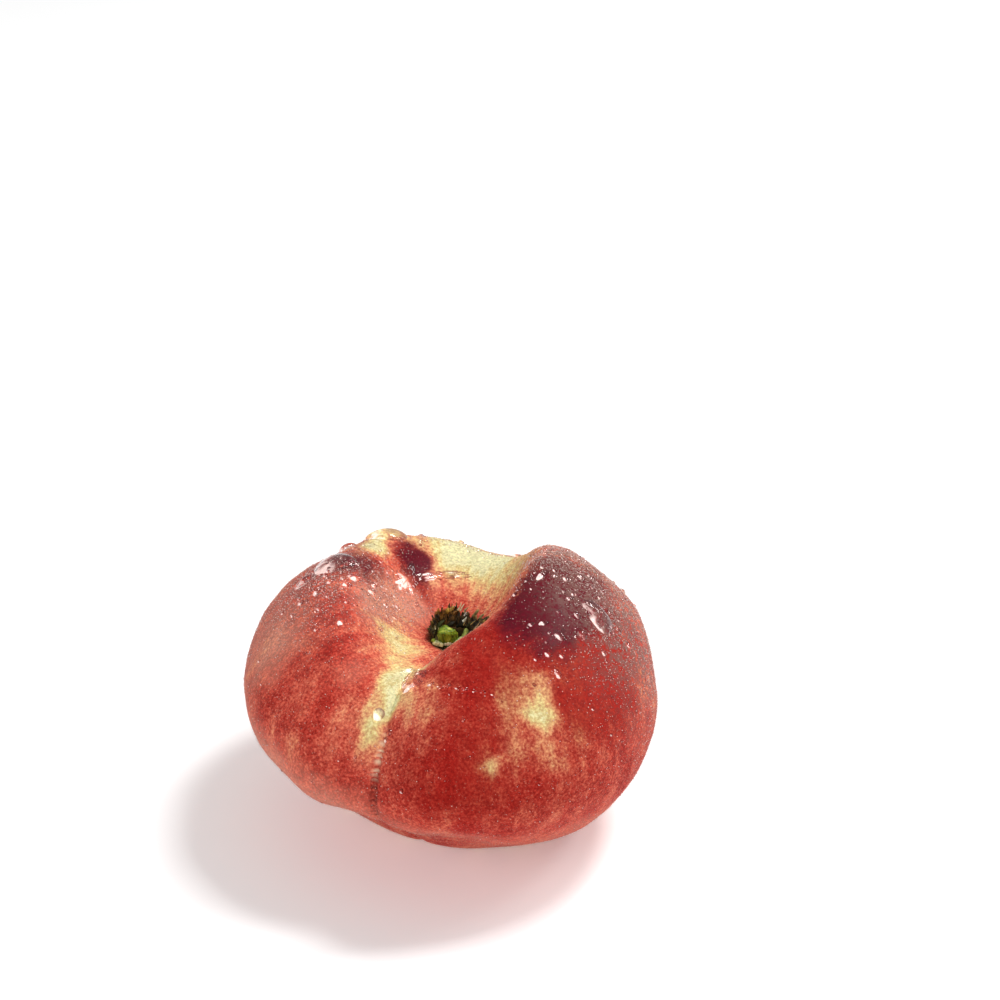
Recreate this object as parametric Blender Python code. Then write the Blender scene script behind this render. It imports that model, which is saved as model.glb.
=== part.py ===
"""A flat peach: its fruit, the green end of its stalk and the dry scales about it. Metres, +Z up.

The suture faces -Y and the larger lobe lies towards +X. The origin is on the ground, in the middle of the
fruit's width and depth. Directions round the fruit are angles about the stalk from -Y, growing towards +X.
"""
import math
from dataclasses import dataclass

import bpy
import numpy as np

MM = 0.001

# Fruit: grid, and how much closer the columns stand at the suture than on average
FRUIT_COLUMNS = 92
FRUIT_ROWS = 44
SUTURE_CROWDING = 0.70

# Fruit: depth of the flat it rests on
REST_FLAT = 0.45 * MM

# Fruit: the smaller lobe's raised lower front, as height, direction and spread
LIFT = 2.7 * MM
LIFT_DIRECTION = math.radians(-6)
LIFT_SPREAD = math.radians(54)

# Fruit: half widths of the valley on the small and the large lobe's side, of its crease, and of the back saddle
VALLEY_LEFT = 10.5 * MM
VALLEY_RIGHT = 5.2 * MM
CREASE_WIDTH = 0.76 * MM
CREASE_DEPTH = 0.85 * MM
SADDLE_WIDTH = 9.5 * MM
SADDLE_DEPTH = 4.2 * MM
SUTURE_DRIFT = 0.07

# Fruit: the pit that the stalk stands in
PIT_RADIUS = 2.7 * MM
PIT_DEPTH = 1.3 * MM

# Stalk stub: foot on the axis of the pit, size, lean and unevenness
STUB_COLUMNS = 28
STUB_ROWS = 16
STUB_FOOT = (-0.4 * MM, -0.6 * MM, 27.73 * MM)
STUB_RADIUS = 1.3 * MM
STUB_HEIGHT = 4.0 * MM
STUB_LEAN = (-0.35 * MM, -0.75 * MM)
STUB_UNEVEN = 0.10

# Dry scales: the arc they stand on, their foot ring and thickness
SCALE_STATIONS = 64
SCALE_START = math.radians(-48)
SCALE_END = math.radians(-262)
SCALE_FOOT_RADIUS = 3.05 * MM
SCALE_FOOT_HEIGHT = 29.2 * MM
SCALE_THICK = 0.60 * MM
SCALE_TIP_THICK = 0.22 * MM
SCALE_LOW = 0.9 * MM


@dataclass(frozen=True)
class Ring:
    """One ring of the fruit's profile: waves round it of radius and height, and what the valley takes there.

    Waves are (mean, cosine once round, sine once, cosine twice, sine twice, ...), in millimetres.
    Valley is a depth in millimetres, lean turns its cut from downwards (0) to inwards (90) to upwards (180).
    """
    radius: tuple
    height: tuple
    valley: float = 0.0
    lean: float = 0.0
    saddle: float = 0.0
    crease: float = 1.0


CAVITY_FOOT = Ring((3.6,), (28.9,), crease=0.3)
CAVITY_WALL = Ring((9.7, 0.1, -0.3), (34.0, -0.7, 0.1), valley=2.6, saddle=0.5)
CREST = Ring((14.5, -0.4, -2.4, 1.9, 0.7), (41.7, -1.4, 3.5, -2.6, -1.0), valley=6.0, lean=10, saddle=1.0)
SHOULDER = Ring((24.4, 0.7, 1.3, -0.7, 0.6), (36.0, 0.0, 1.4, -2.0, 0.5), valley=1.6, lean=40, saddle=0.6)
UPPER_SIDE = Ring((32.9, 1.1, -0.2, 0.6, 1.6), (26.6, -1.3, -0.7), valley=3.7, lean=75)
LOWER_SIDE = Ring((32.9, 1.1, -0.2, 0.6, 1.6), (16.8, -1.3, -0.7), lean=95)
UNDERSIDE = Ring((22.9, -0.5, 0.6, -0.2, 0.3), (4.9, 1.5, -0.6, 1.7, -0.2), valley=0.5, lean=135)
REST_RING = Ring((10.9,), (0.0,), valley=0.35, lean=180, crease=0.6)
BLOSSOM_FOOT = Ring((4.6,), (3.4,), lean=180, crease=0.0)

# Shares of the lift that the side's lower ring takes, and by which the underside's ring is pushed out
LIFT_ON_SIDE = 0.5
LIFT_SPREADS = 0.2


def clear_scene() -> None:
    """Take every object out of the scene."""
    for thing in list(bpy.data.objects):
        bpy.data.objects.remove(thing, do_unlink=True)


def waves(terms: tuple, around: np.ndarray) -> np.ndarray:
    """Mean plus cosine and sine waves round the axis, given in millimetres, as metres."""
    total = np.full_like(around, terms[0])
    for place, size in enumerate(terms[1:]):
        turns = place // 2 + 1
        wave = np.cos if place % 2 == 0 else np.sin
        total = total + size * wave(turns * around)
    return total * MM


def smooth_step(low: float, high: float, value: np.ndarray) -> np.ndarray:
    """0 below low and 1 above high, with an even turn between."""
    share = np.clip((value - low) / (high - low), 0, 1)
    return share * share * (3 - 2 * share)


def ring_values(ring: Ring, around: np.ndarray, raised: float = 0.0, spread: float = 0.0) -> list:
    """Radius, height, valley depth, lean, saddle depth and crease depth of one ring, round the fruit."""
    level = np.ones_like(around)
    turn = (around - LIFT_DIRECTION + math.pi) % (2 * math.pi) - math.pi
    lift = LIFT * np.exp(-(turn / LIFT_SPREAD) ** 2)
    return [
        waves(ring.radius, around) + spread * lift,
        waves(ring.height, around) + raised * lift,
        ring.valley * MM * level,
        math.radians(ring.lean) * level,
        ring.saddle * SADDLE_DEPTH * level,
        ring.crease * CREASE_DEPTH * level,
    ]


def fruit_rings(around: np.ndarray) -> np.ndarray:
    """Control rings from the stalk to the blossom end; the first and last mirror their neighbours over the axis."""
    still = np.zeros_like(around)
    foot = ring_values(CAVITY_FOOT, around)
    underside = ring_values(UNDERSIDE, around, 1.0, LIFT_SPREADS)
    blossom = ring_values(BLOSSOM_FOOT, around)
    # The height that makes the curve's lowest line level all round
    rest = ring_values(REST_RING, around)
    rest[1] = (-blossom[1] - underside[1]) / 4
    half_turn = still + math.pi
    return np.array([
        [-foot[0], foot[1], still, still, still, still],
        [still, foot[1], still, still, still, still],
        foot,
        ring_values(CAVITY_WALL, around),
        ring_values(CREST, around),
        ring_values(SHOULDER, around),
        ring_values(UPPER_SIDE, around),
        ring_values(LOWER_SIDE, around, LIFT_ON_SIDE),
        underside,
        rest,
        blossom,
        [still, blossom[1], still, half_turn, still, still],
        [-blossom[0], blossom[1], still, half_turn, still, still],
    ])


def cubic_spline(rings: np.ndarray, along: np.ndarray) -> np.ndarray:
    """Uniform cubic B-spline through the rings' values, at shares 0 to 1 of the way along."""
    spans = len(rings) - 3
    place = np.clip(along * spans, 0, spans - 1e-9)
    first = place.astype(int)
    f = place - first
    weights = np.stack([(1 - f) ** 3, 3 * f ** 3 - 6 * f ** 2 + 4, -3 * f ** 3 + 3 * f ** 2 + 3 * f + 1, f ** 3]) / 6
    near = np.stack([rings[first + step] for step in range(4)])
    return np.einsum("jr,jrkc->krc", weights, near)


def fruit_points(along: np.ndarray, around: np.ndarray) -> np.ndarray:
    """Points of the skin on a grid: the spline's radius and height, less valley, crease, saddle and pit."""
    radius, height, valley, lean, saddle, crease = cubic_spline(fruit_rings(around), along)
    turn = around[None, :] - SUTURE_DRIFT * (along[:, None] - 0.2)
    side = np.sin(turn) * np.abs(radius)
    front = smooth_step(-0.1, 0.35, np.cos(around))
    back = smooth_step(-0.1, 0.35, -np.cos(around))
    half_width = np.where(side < 0, VALLEY_LEFT, VALLEY_RIGHT)
    cut = valley * np.exp(-(side / half_width) ** 2)
    cut = (cut + crease * np.exp(-(np.abs(side) / CREASE_WIDTH) ** 1.3)) * front
    radius = radius - cut * np.sin(lean)
    height = height - cut * np.cos(lean)
    height = height - saddle * np.exp(-(side / SADDLE_WIDTH) ** 2) * back
    height = height - PIT_DEPTH * np.exp(-(radius / PIT_RADIUS) ** 4) * (along[:, None] < 0.5)
    return np.stack([radius * np.sin(around), -radius * np.cos(around), height], axis=-1)


def closed_grid(rows: np.ndarray, first_pole: np.ndarray, last_pole: np.ndarray) -> tuple:
    """Vertices and faces of rings closed round and ended by two poles, from the bottom pole up."""
    count, columns = rows.shape[:2]
    vertices = np.concatenate([first_pole[None], rows.reshape(-1, 3), last_pole[None]])
    faces = []
    for column in range(columns):
        after = (column + 1) % columns
        faces.append((0, 1 + after, 1 + column))
        for row in range(count - 1):
            low = 1 + row * columns
            high = low + columns
            faces.append((low + column, low + after, high + after, high + column))
        top = 1 + (count - 1) * columns
        faces.append((top + column, top + after, len(vertices) - 1))
    return vertices, faces


def add_object(name: str, vertices: np.ndarray, faces: list, material: bpy.types.Material) -> bpy.types.Object:
    """Make a smooth-shaded mesh object from points in metres and link it to the scene."""
    mesh = bpy.data.meshes.new(name)
    mesh.from_pydata(vertices.tolist(), [], faces)
    mesh.materials.append(material)
    mesh.shade_smooth()
    made = bpy.data.objects.new(name, mesh)
    bpy.context.scene.collection.objects.link(made)
    return made


def plain_material(name: str, colour: tuple, roughness: float) -> bpy.types.Material:
    """A Principled material with one colour."""
    material = bpy.data.materials.new(name)
    material.use_nodes = True
    shader = material.node_tree.nodes["Principled BSDF"]
    shader.inputs["Base Color"].default_value = (*colour, 1.0)
    shader.inputs["Roughness"].default_value = roughness
    shader.inputs["Metallic"].default_value = 0.0
    material.diffuse_color = (*colour, 1.0)
    return material


def build_fruit() -> bpy.types.Object:
    """Skin and flesh as one solid, set down on the flat of its rest ring."""
    even = np.linspace(-math.pi, math.pi, FRUIT_COLUMNS, endpoint=False)
    around = even - SUTURE_CROWDING * np.sin(even)
    along = np.linspace(1, 0, FRUIT_ROWS + 1)
    points = fruit_points(along, around)
    points[..., 2] -= points[..., 2].min() + REST_FLAT
    points[..., 2] = np.maximum(points[..., 2], 0)
    vertices, faces = closed_grid(points[1:-1], points[0, 0], points[-1, 0])
    skin = plain_material("peach_skin", (0.52, 0.10, 0.07), 0.55)
    return add_object("fruit", vertices, faces, skin)


def build_stub() -> bpy.types.Object:
    """The stalk's green end: a leaning, slightly lobed peg with a domed top."""
    around = np.linspace(-math.pi, math.pi, STUB_COLUMNS, endpoint=False)[None, :]
    along = np.linspace(0, 1, STUB_ROWS)[1:-1, None]
    angle = np.pi * along
    # A superellipse between the foot and the top, a little wider above the middle
    radius = STUB_RADIUS * np.sin(angle) ** 0.45 * (1 + 0.12 * along)
    uneven = 1 + STUB_UNEVEN * np.cos(3 * around + 0.8) + 0.6 * STUB_UNEVEN * np.cos(5 * around + 2.0)
    radius = radius * uneven
    rise = (1 - np.sign(np.cos(angle)) * np.abs(np.cos(angle)) ** 0.6) / 2
    x = STUB_FOOT[0] + radius * np.sin(around) + STUB_LEAN[0] * rise
    y = STUB_FOOT[1] - radius * np.cos(around) + STUB_LEAN[1] * rise
    z = STUB_FOOT[2] + STUB_HEIGHT * rise + 0 * around
    foot = np.array(STUB_FOOT)
    top = foot + np.array([STUB_LEAN[0], STUB_LEAN[1], STUB_HEIGHT])
    vertices, faces = closed_grid(np.stack([x, y, z], axis=-1), foot, top)
    green = plain_material("stalk_green", (0.16, 0.26, 0.03), 0.45)
    return add_object("stem_stub", vertices, faces, green)


def scale_height(share: np.ndarray) -> np.ndarray:
    """Height of the scales along their arc: a low rim with pointed peaks, tallest at the back."""
    peaks = ((0.06, 0.05, 0.9), (0.22, 0.06, 1.5), (0.40, 0.07, 2.7), (0.57, 0.06, 3.5), (0.73, 0.05, 2.2),
             (0.90, 0.08, 2.6))
    height = np.full_like(share, SCALE_LOW)
    for middle, half, tall in peaks:
        height = height + tall * MM * np.clip(1 - np.abs(share - middle) / (1.6 * half), 0, 1) ** 0.8
    return height


def build_scales() -> bpy.types.Object:
    """Dry scales in one torn collar: a thin blade carried round the back of the stub, open to the front."""
    share = np.linspace(0, 1, SCALE_STATIONS)
    turn = SCALE_START + (SCALE_END - SCALE_START) * share
    ripple = 0.22 * MM * np.sin(9 * turn) + 0.12 * MM * np.sin(17 * turn + 1.0)
    height = scale_height(share)
    outward = 0.30 + 0.55 * smooth_step(0.70, 0.92, share)
    ends = np.sqrt(np.clip(np.minimum(share, 1 - share) / 0.05, 0.12, 1))
    rows = []
    # Section points: share of the height, and which face of the blade, inner (-1) or outer (1)
    for level, face in ((0.0, -1), (0.0, 1), (0.35, 1), (0.7, 1), (1.0, 1), (1.0, -1), (0.7, -1), (0.35, -1)):
        thick = (SCALE_THICK + (SCALE_TIP_THICK - SCALE_THICK) * level) * ends / 2
        radius = SCALE_FOOT_RADIUS + ripple * level + outward * height * level + face * thick
        rise = SCALE_FOOT_HEIGHT + height * level
        rows.append(np.stack([radius * np.sin(turn), -radius * np.cos(turn), rise + 0 * turn], axis=-1))
    grid = np.stack(rows, axis=1)
    vertices, faces = closed_grid(grid, grid[0].mean(axis=0), grid[-1].mean(axis=0))
    brown = plain_material("dry_scale", (0.16, 0.08, 0.025), 0.8)
    return add_object("stem_scales", vertices, faces, brown)


def middle_of(thing: bpy.types.Object) -> tuple:
    """Middle of an object's width and depth."""
    points = np.empty(len(thing.data.vertices) * 3)
    thing.data.vertices.foreach_get("co", points)
    points = points.reshape(-1, 3)
    return tuple((points.min(axis=0) + points.max(axis=0))[:2] / 2)


def main() -> None:
    """Build the peach from the fruit to the scales, and set its middle over the origin."""
    clear_scene()
    fruit = build_fruit()
    across, deep = middle_of(fruit)
    for piece in (fruit, build_stub(), build_scales()):
        piece.location = (-across, -deep, 0)


main()
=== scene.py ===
"""A flat peach just rinsed: downy skin, water drops, and the cut end of its stalk in the hollow.

Metres, +Z up, the suture towards -Y. Two numbers place a point on the skin: the share of the way along it from
the stalk (0) to the blossom end (1), and the azimuth about the stalk, from -Y growing towards +X.
"""
from __future__ import annotations

import logging
import math
from dataclasses import dataclass
from enum import Enum

import bpy
import numpy as np
from mathutils import Euler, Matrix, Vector


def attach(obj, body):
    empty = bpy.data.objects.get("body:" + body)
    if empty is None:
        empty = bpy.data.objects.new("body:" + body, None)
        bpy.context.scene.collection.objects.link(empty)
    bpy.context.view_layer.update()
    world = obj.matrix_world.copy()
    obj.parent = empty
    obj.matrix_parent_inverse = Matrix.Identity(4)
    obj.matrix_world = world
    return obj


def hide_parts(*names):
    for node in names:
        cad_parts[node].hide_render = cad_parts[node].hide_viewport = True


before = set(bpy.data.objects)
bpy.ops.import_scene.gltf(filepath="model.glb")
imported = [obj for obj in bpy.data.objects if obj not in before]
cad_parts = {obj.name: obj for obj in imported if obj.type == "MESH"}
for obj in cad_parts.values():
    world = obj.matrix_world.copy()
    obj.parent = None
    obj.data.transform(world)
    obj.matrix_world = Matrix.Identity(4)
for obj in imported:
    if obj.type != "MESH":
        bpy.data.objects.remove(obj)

MM = 0.001
LOG = logging.getLogger("peach")


# Helpers for numbers on the surface

def smooth_step(low: float, high: float, value: np.ndarray) -> np.ndarray:
    """0 below low and 1 above high, with an even turn between."""
    share = np.clip((value - low) / (high - low), 0, 1)
    return share * share * (3 - 2 * share)


def ripples(points: np.ndarray, size: float, seed: int, count: int = 14) -> np.ndarray:
    """Smooth chance unevenness in space: the mean of sine waves in chance directions, about -1 to 1.

    Args:
        points: places in metres, the last axis x, y, z.
        size: length of a wave in metres.
        seed: start of the random draws.
        count: number of waves.

    Returns:
        One value for each point.
    """
    rng = np.random.default_rng(seed)
    way = rng.normal(size=(count, 3))
    way /= np.linalg.norm(way, axis=1, keepdims=True)
    length = size * rng.uniform(0.7, 1.4, count)
    phase = rng.uniform(0, 2 * math.pi, count)
    total = np.zeros(points.shape[:-1])
    for turn, span, start in zip(way, length, phase):
        total += np.sin(2 * math.pi * (points @ turn) / span + start)
    return total * math.sqrt(2 / count)


def ring_faces(rings: int, columns: int, first: int = 0) -> np.ndarray:
    """Quads between rings closed round, from the first vertex on, facing outwards if the rings climb."""
    row, column = np.meshgrid(np.arange(rings - 1), np.arange(columns), indexing="ij")
    after = (column + 1) % columns
    low, high = first + row * columns, first + (row + 1) * columns
    return np.stack([low + column, low + after, high + after, high + column], axis=-1).reshape(-1, 4)


def cap_faces(columns: int, ring: int, pole: int, top: bool) -> np.ndarray:
    """Triangles from the ring that starts at vertex `ring` to one pole."""
    column = np.arange(columns)
    after = (column + 1) % columns
    ends = (column, after) if top else (after, column)
    return np.stack([ring + ends[0], ring + ends[1], np.full(columns, pole)], axis=-1)


def copies(pattern: np.ndarray, count: int, size: int) -> np.ndarray:
    """The polygons of one body repeated for `count` bodies of `size` vertices each."""
    first = size * np.arange(count)[:, None, None]
    return (first + pattern[None]).reshape(-1, pattern.shape[1])


def make_mesh(name: str, points: np.ndarray, polygons: list[np.ndarray]) -> bpy.types.Object:
    """Puts points and polygons into a smooth-shaded mesh object that stands at the origin.

    Args:
        name: name of the piece.
        points: vertices in metres, in the part's frame.
        polygons: arrays of vertex numbers, one row a polygon, each array with its own number of corners.

    Returns:
        The new object.
    """
    mesh = bpy.data.meshes.new(name)
    corners = np.concatenate([rows.ravel() for rows in polygons])
    counts = np.concatenate([np.full(len(rows), rows.shape[1]) for rows in polygons])
    starts = np.concatenate([[0], np.cumsum(counts)[:-1]])
    mesh.vertices.add(len(points))
    mesh.vertices.foreach_set("co", points.astype(np.float32).ravel())
    mesh.loops.add(len(corners))
    mesh.loops.foreach_set("vertex_index", corners.astype(np.int32))
    mesh.polygons.add(len(counts))
    mesh.polygons.foreach_set("loop_start", starts.astype(np.int32))
    mesh.update(calc_edges=True)
    mesh.validate()
    mesh.shade_smooth()
    made = bpy.data.objects.new(name, mesh)
    bpy.context.scene.collection.objects.link(made)
    return made


def closed_tube(name: str, rings: np.ndarray, foot: np.ndarray, top: np.ndarray) -> bpy.types.Object:
    """A mesh of climbing rings closed round, ended by a pole at each end."""
    count, columns = rings.shape[:2]
    points = np.concatenate([foot[None], rings.reshape(-1, 3), top[None]])
    last = len(points) - 1
    sides = ring_faces(count, columns, 1)
    ends = [cap_faces(columns, 1, 0, False), cap_faces(columns, 1 + (count - 1) * columns, last, True)]
    return make_mesh(name, points, [sides, *ends])


def give_values(piece: bpy.types.Object, name: str, values: np.ndarray) -> None:
    """Stores one number or one vector for each vertex under a name that a material reads."""
    kind = "FLOAT" if values.ndim == 1 else "FLOAT_VECTOR"
    layer = piece.data.attributes.new(name, kind, "POINT")
    layer.data.foreach_set("value" if values.ndim == 1 else "vector", values.astype(np.float32).ravel())


# Helpers for materials

class Net:
    """A short way to write node trees: adds nodes, sets their values and links them."""

    def __init__(self, tree: bpy.types.NodeTree) -> None:
        """Keeps the tree."""
        self.tree = tree

    def add(self, kind: str, inputs: dict | None = None, **settings: object) -> bpy.types.Node:
        """Adds a node.

        Args:
            kind: the node's type, without its ShaderNode beginning.
            inputs: socket name or number to a value or to another node's output.
            settings: properties of the node.

        Returns:
            The node.
        """
        node = self.tree.nodes.new("ShaderNode" + kind)
        for key, value in settings.items():
            setattr(node, key, value)
        for key, value in (inputs or {}).items():
            self.feed(node.inputs[key], value)
        return node

    def feed(self, socket: bpy.types.NodeSocket, value: object) -> None:
        """Links an output to a socket, or sets the socket's own value."""
        if isinstance(value, bpy.types.NodeSocket):
            self.tree.links.new(value, socket)
        else:
            socket.default_value = value

    def math(self, operation: str, *values: object, clamp: bool = False) -> bpy.types.NodeSocket:
        """The result of one sum on up to three numbers or outputs."""
        node = self.add("Math", dict(enumerate(values)), operation=operation, use_clamp=clamp)
        return node.outputs[0]

    def step(self, value: bpy.types.NodeSocket, low: float, high: float) -> bpy.types.NodeSocket:
        """0 below low and 1 above high, smoothly."""
        inputs = {"Value": value, "From Min": low, "From Max": high}
        return self.add("MapRange", inputs, interpolation_type="SMOOTHSTEP").outputs["Result"]

    def mix(self, share: object, one: object, two: object, blend: str = "MIX") -> bpy.types.NodeSocket:
        """A colour between two, from the first at share 0 to the second at 1."""
        node = self.add("Mix", {0: share, 6: one, 7: two}, data_type="RGBA", blend_type=blend, clamp_factor=True)
        return node.outputs[2]

    def ramp(self, value: bpy.types.NodeSocket, stops: tuple) -> bpy.types.NodeSocket:
        """A colour read from stops of (place, colour)."""
        node = self.add("ValToRGB", {0: value})
        while len(node.color_ramp.elements) < len(stops):
            node.color_ramp.elements.new(0.5)
        for element, (place, colour) in zip(node.color_ramp.elements, stops):
            element.position = place
            element.color = (*colour, 1)
        return node.outputs["Color"]

    def noise(self, where: bpy.types.NodeSocket, scale: float, detail: float = 2, rough: float = 0.5
              ) -> bpy.types.NodeSocket:
        """Noise of 0 to 1 at a scale in cycles for each unit of the coordinates."""
        inputs = {"Vector": where, "Scale": scale, "Detail": detail, "Roughness": rough}
        return self.add("TexNoise", inputs).outputs["Fac"]

    def value(self, name: str) -> bpy.types.NodeSocket:
        """A number stored on the mesh."""
        return self.add("Attribute", attribute_name=name).outputs["Fac"]


def rgba(colour: tuple) -> tuple:
    """A colour with full alpha."""
    return (*colour, 1.0)


def new_material(name: str, inputs: dict | None = None) -> tuple[bpy.types.Material, Net, bpy.types.Node]:
    """A node material with its Principled shader.

    Args:
        name: name of the material.
        inputs: values of the shader's sockets.

    Returns:
        The material, its tree's helper and the shader node.
    """
    material = bpy.data.materials.new(name)
    material.use_nodes = True
    shader = material.node_tree.nodes["Principled BSDF"]
    net = Net(material.node_tree)
    for key, value in (inputs or {}).items():
        net.feed(shader.inputs[key], value)
    return material, net, shader


# Form of the fruit

@dataclass(frozen=True)
class Ring:
    """One ring of the fruit's profile: waves round it of radius and height, and what the valley takes there.

    Waves are (mean, cosine once round, sine once, cosine twice, sine twice, ...), in millimetres.
    Valley is a depth in millimetres, lean turns its cut from downwards (0) to inwards (90) to upwards (180).
    """
    radius: tuple
    height: tuple
    valley: float = 0.0
    lean: float = 0.0
    saddle: float = 0.0
    crease: float = 1.0


@dataclass(frozen=True)
class PeachForm:
    """The fruit's outer shape: rings joined by a smooth curve, with a valley along the suture and a saddle behind."""
    cavity_foot: Ring = Ring((3.6,), (28.9,), crease=0.3)
    cavity_wall: Ring = Ring((9.7, 0.1, -0.3), (34.0, -0.7, 0.1), valley=2.6, saddle=0.5)
    crest: Ring = Ring((14.5, -0.4, -2.4, 1.9, 0.7), (41.7, -1.4, 3.5, -2.6, -1.0), valley=6.0, lean=10, saddle=1.0)
    shoulder: Ring = Ring((24.4, 0.7, 1.3, -0.7, 0.6), (36.0, 0.0, 1.4, -2.0, 0.5), valley=1.6, lean=40, saddle=0.6)
    upper_side: Ring = Ring((32.9, 1.1, -0.2, 0.6, 1.6), (26.6, -1.3, -0.7), valley=3.7, lean=75)
    lower_side: Ring = Ring((32.9, 1.1, -0.2, 0.6, 1.6), (16.8, -1.3, -0.7), lean=95)
    underside: Ring = Ring((22.9, -0.5, 0.6, -0.2, 0.3), (4.9, 1.5, -0.6, 1.7, -0.2), valley=0.5, lean=135)
    rest_ring: Ring = Ring((10.9,), (0.0,), valley=0.35, lean=180, crease=0.6)
    blossom_foot: Ring = Ring((4.6,), (3.4,), lean=180, crease=0.0)
    rest_flat: float = 0.45 * MM
    lift: float = 2.7 * MM
    lift_direction: float = math.radians(-6)
    lift_spread: float = math.radians(54)
    lift_on_side: float = 0.5
    lift_spreads: float = 0.2
    valley_left: float = 10.5 * MM
    valley_right: float = 5.2 * MM
    crease_width: float = 0.76 * MM
    crease_depth: float = 0.85 * MM
    saddle_width: float = 9.5 * MM
    saddle_depth: float = 4.2 * MM
    suture_drift: float = 0.07
    pit_radius: float = 2.7 * MM
    pit_depth: float = 1.3 * MM

    def waves(self, terms: tuple, around: np.ndarray) -> np.ndarray:
        """Mean plus cosine and sine waves round the axis, given in millimetres, as metres."""
        total = np.full_like(around, terms[0])
        for place, size in enumerate(terms[1:]):
            wave = np.cos if place % 2 == 0 else np.sin
            total = total + size * wave((place // 2 + 1) * around)
        return total * MM

    def ring(self, ring: Ring, around: np.ndarray, raised: float = 0.0, spread: float = 0.0) -> list[np.ndarray]:
        """Radius, height, valley depth, lean, saddle depth and crease depth of one ring.

        Args:
            ring: the ring.
            around: azimuths in radians.
            raised: share of the lift that raises it.
            spread: share of the lift that pushes it out.

        Returns:
            Six arrays like `around`.
        """
        level = np.ones_like(around)
        turn = (around - self.lift_direction + math.pi) % (2 * math.pi) - math.pi
        lift = self.lift * np.exp(-(turn / self.lift_spread) ** 2)
        return [
            self.waves(ring.radius, around) + spread * lift,
            self.waves(ring.height, around) + raised * lift,
            ring.valley * MM * level,
            math.radians(ring.lean) * level,
            ring.saddle * self.saddle_depth * level,
            ring.crease * self.crease_depth * level,
        ]

    def rings(self, around: np.ndarray) -> np.ndarray:
        """Control rings from stalk to blossom end; the first and last mirror their neighbours over the axis."""
        still = np.zeros_like(around)
        half_turn = still + math.pi
        foot = self.ring(self.cavity_foot, around)
        underside = self.ring(self.underside, around, 1.0, self.lift_spreads)
        blossom = self.ring(self.blossom_foot, around)
        rest = self.ring(self.rest_ring, around)
        rest[1] = (-blossom[1] - underside[1]) / 4
        return np.array([
            [-foot[0], foot[1], still, still, still, still],
            [still, foot[1], still, still, still, still],
            foot,
            self.ring(self.cavity_wall, around),
            self.ring(self.crest, around),
            self.ring(self.shoulder, around),
            self.ring(self.upper_side, around),
            self.ring(self.lower_side, around, self.lift_on_side),
            underside,
            rest,
            blossom,
            [still, blossom[1], still, half_turn, still, still],
            [-blossom[0], blossom[1], still, half_turn, still, still],
        ])

    def surface(self, along: np.ndarray, around: np.ndarray) -> np.ndarray:
        """Points of the skin about the stalk's axis.

        A uniform cubic B-spline carries radius, height and the four depths from ring to ring. The valley is a bell
        across the suture and the crease a narrower one, both cut away along the ring's lean; the saddle is a bell
        across the back and the pit a steep bell about the stalk, both cut downwards.

        Args:
            along: shares of the way along the skin.
            around: azimuths in radians, of the same shape.

        Returns:
            Points in metres, on a last axis of three.
        """
        rings = self.rings(around)
        spans = len(rings) - 3
        place = np.clip(along * spans, 0, spans - 1e-9)
        first = place.astype(int)
        f = place - first
        weights = [(1 - f) ** 3, 3 * f ** 3 - 6 * f ** 2 + 4, -3 * f ** 3 + 3 * f ** 2 + 3 * f + 1, f ** 3]
        total = 0
        for step, weight in enumerate(weights):
            near = np.take_along_axis(rings, (first + step)[None, None], axis=0)[0]
            total = total + near * weight / 6
        radius, height, valley, lean, saddle, crease = total
        side = np.sin(around - self.suture_drift * (along - 0.2)) * np.abs(radius)
        front = smooth_step(-0.1, 0.35, np.cos(around))
        back = smooth_step(-0.1, 0.35, -np.cos(around))
        half_width = np.where(side < 0, self.valley_left, self.valley_right)
        cut = valley * np.exp(-(side / half_width) ** 2)
        cut = (cut + crease * np.exp(-(np.abs(side) / self.crease_width) ** 1.3)) * front
        radius = radius - cut * np.sin(lean)
        height = height - cut * np.cos(lean) - saddle * np.exp(-(side / self.saddle_width) ** 2) * back
        height = height - self.pit_depth * np.exp(-(radius / self.pit_radius) ** 4) * (along < 0.5)
        return np.stack([radius * np.sin(around), -radius * np.cos(around), height], axis=-1)


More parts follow.
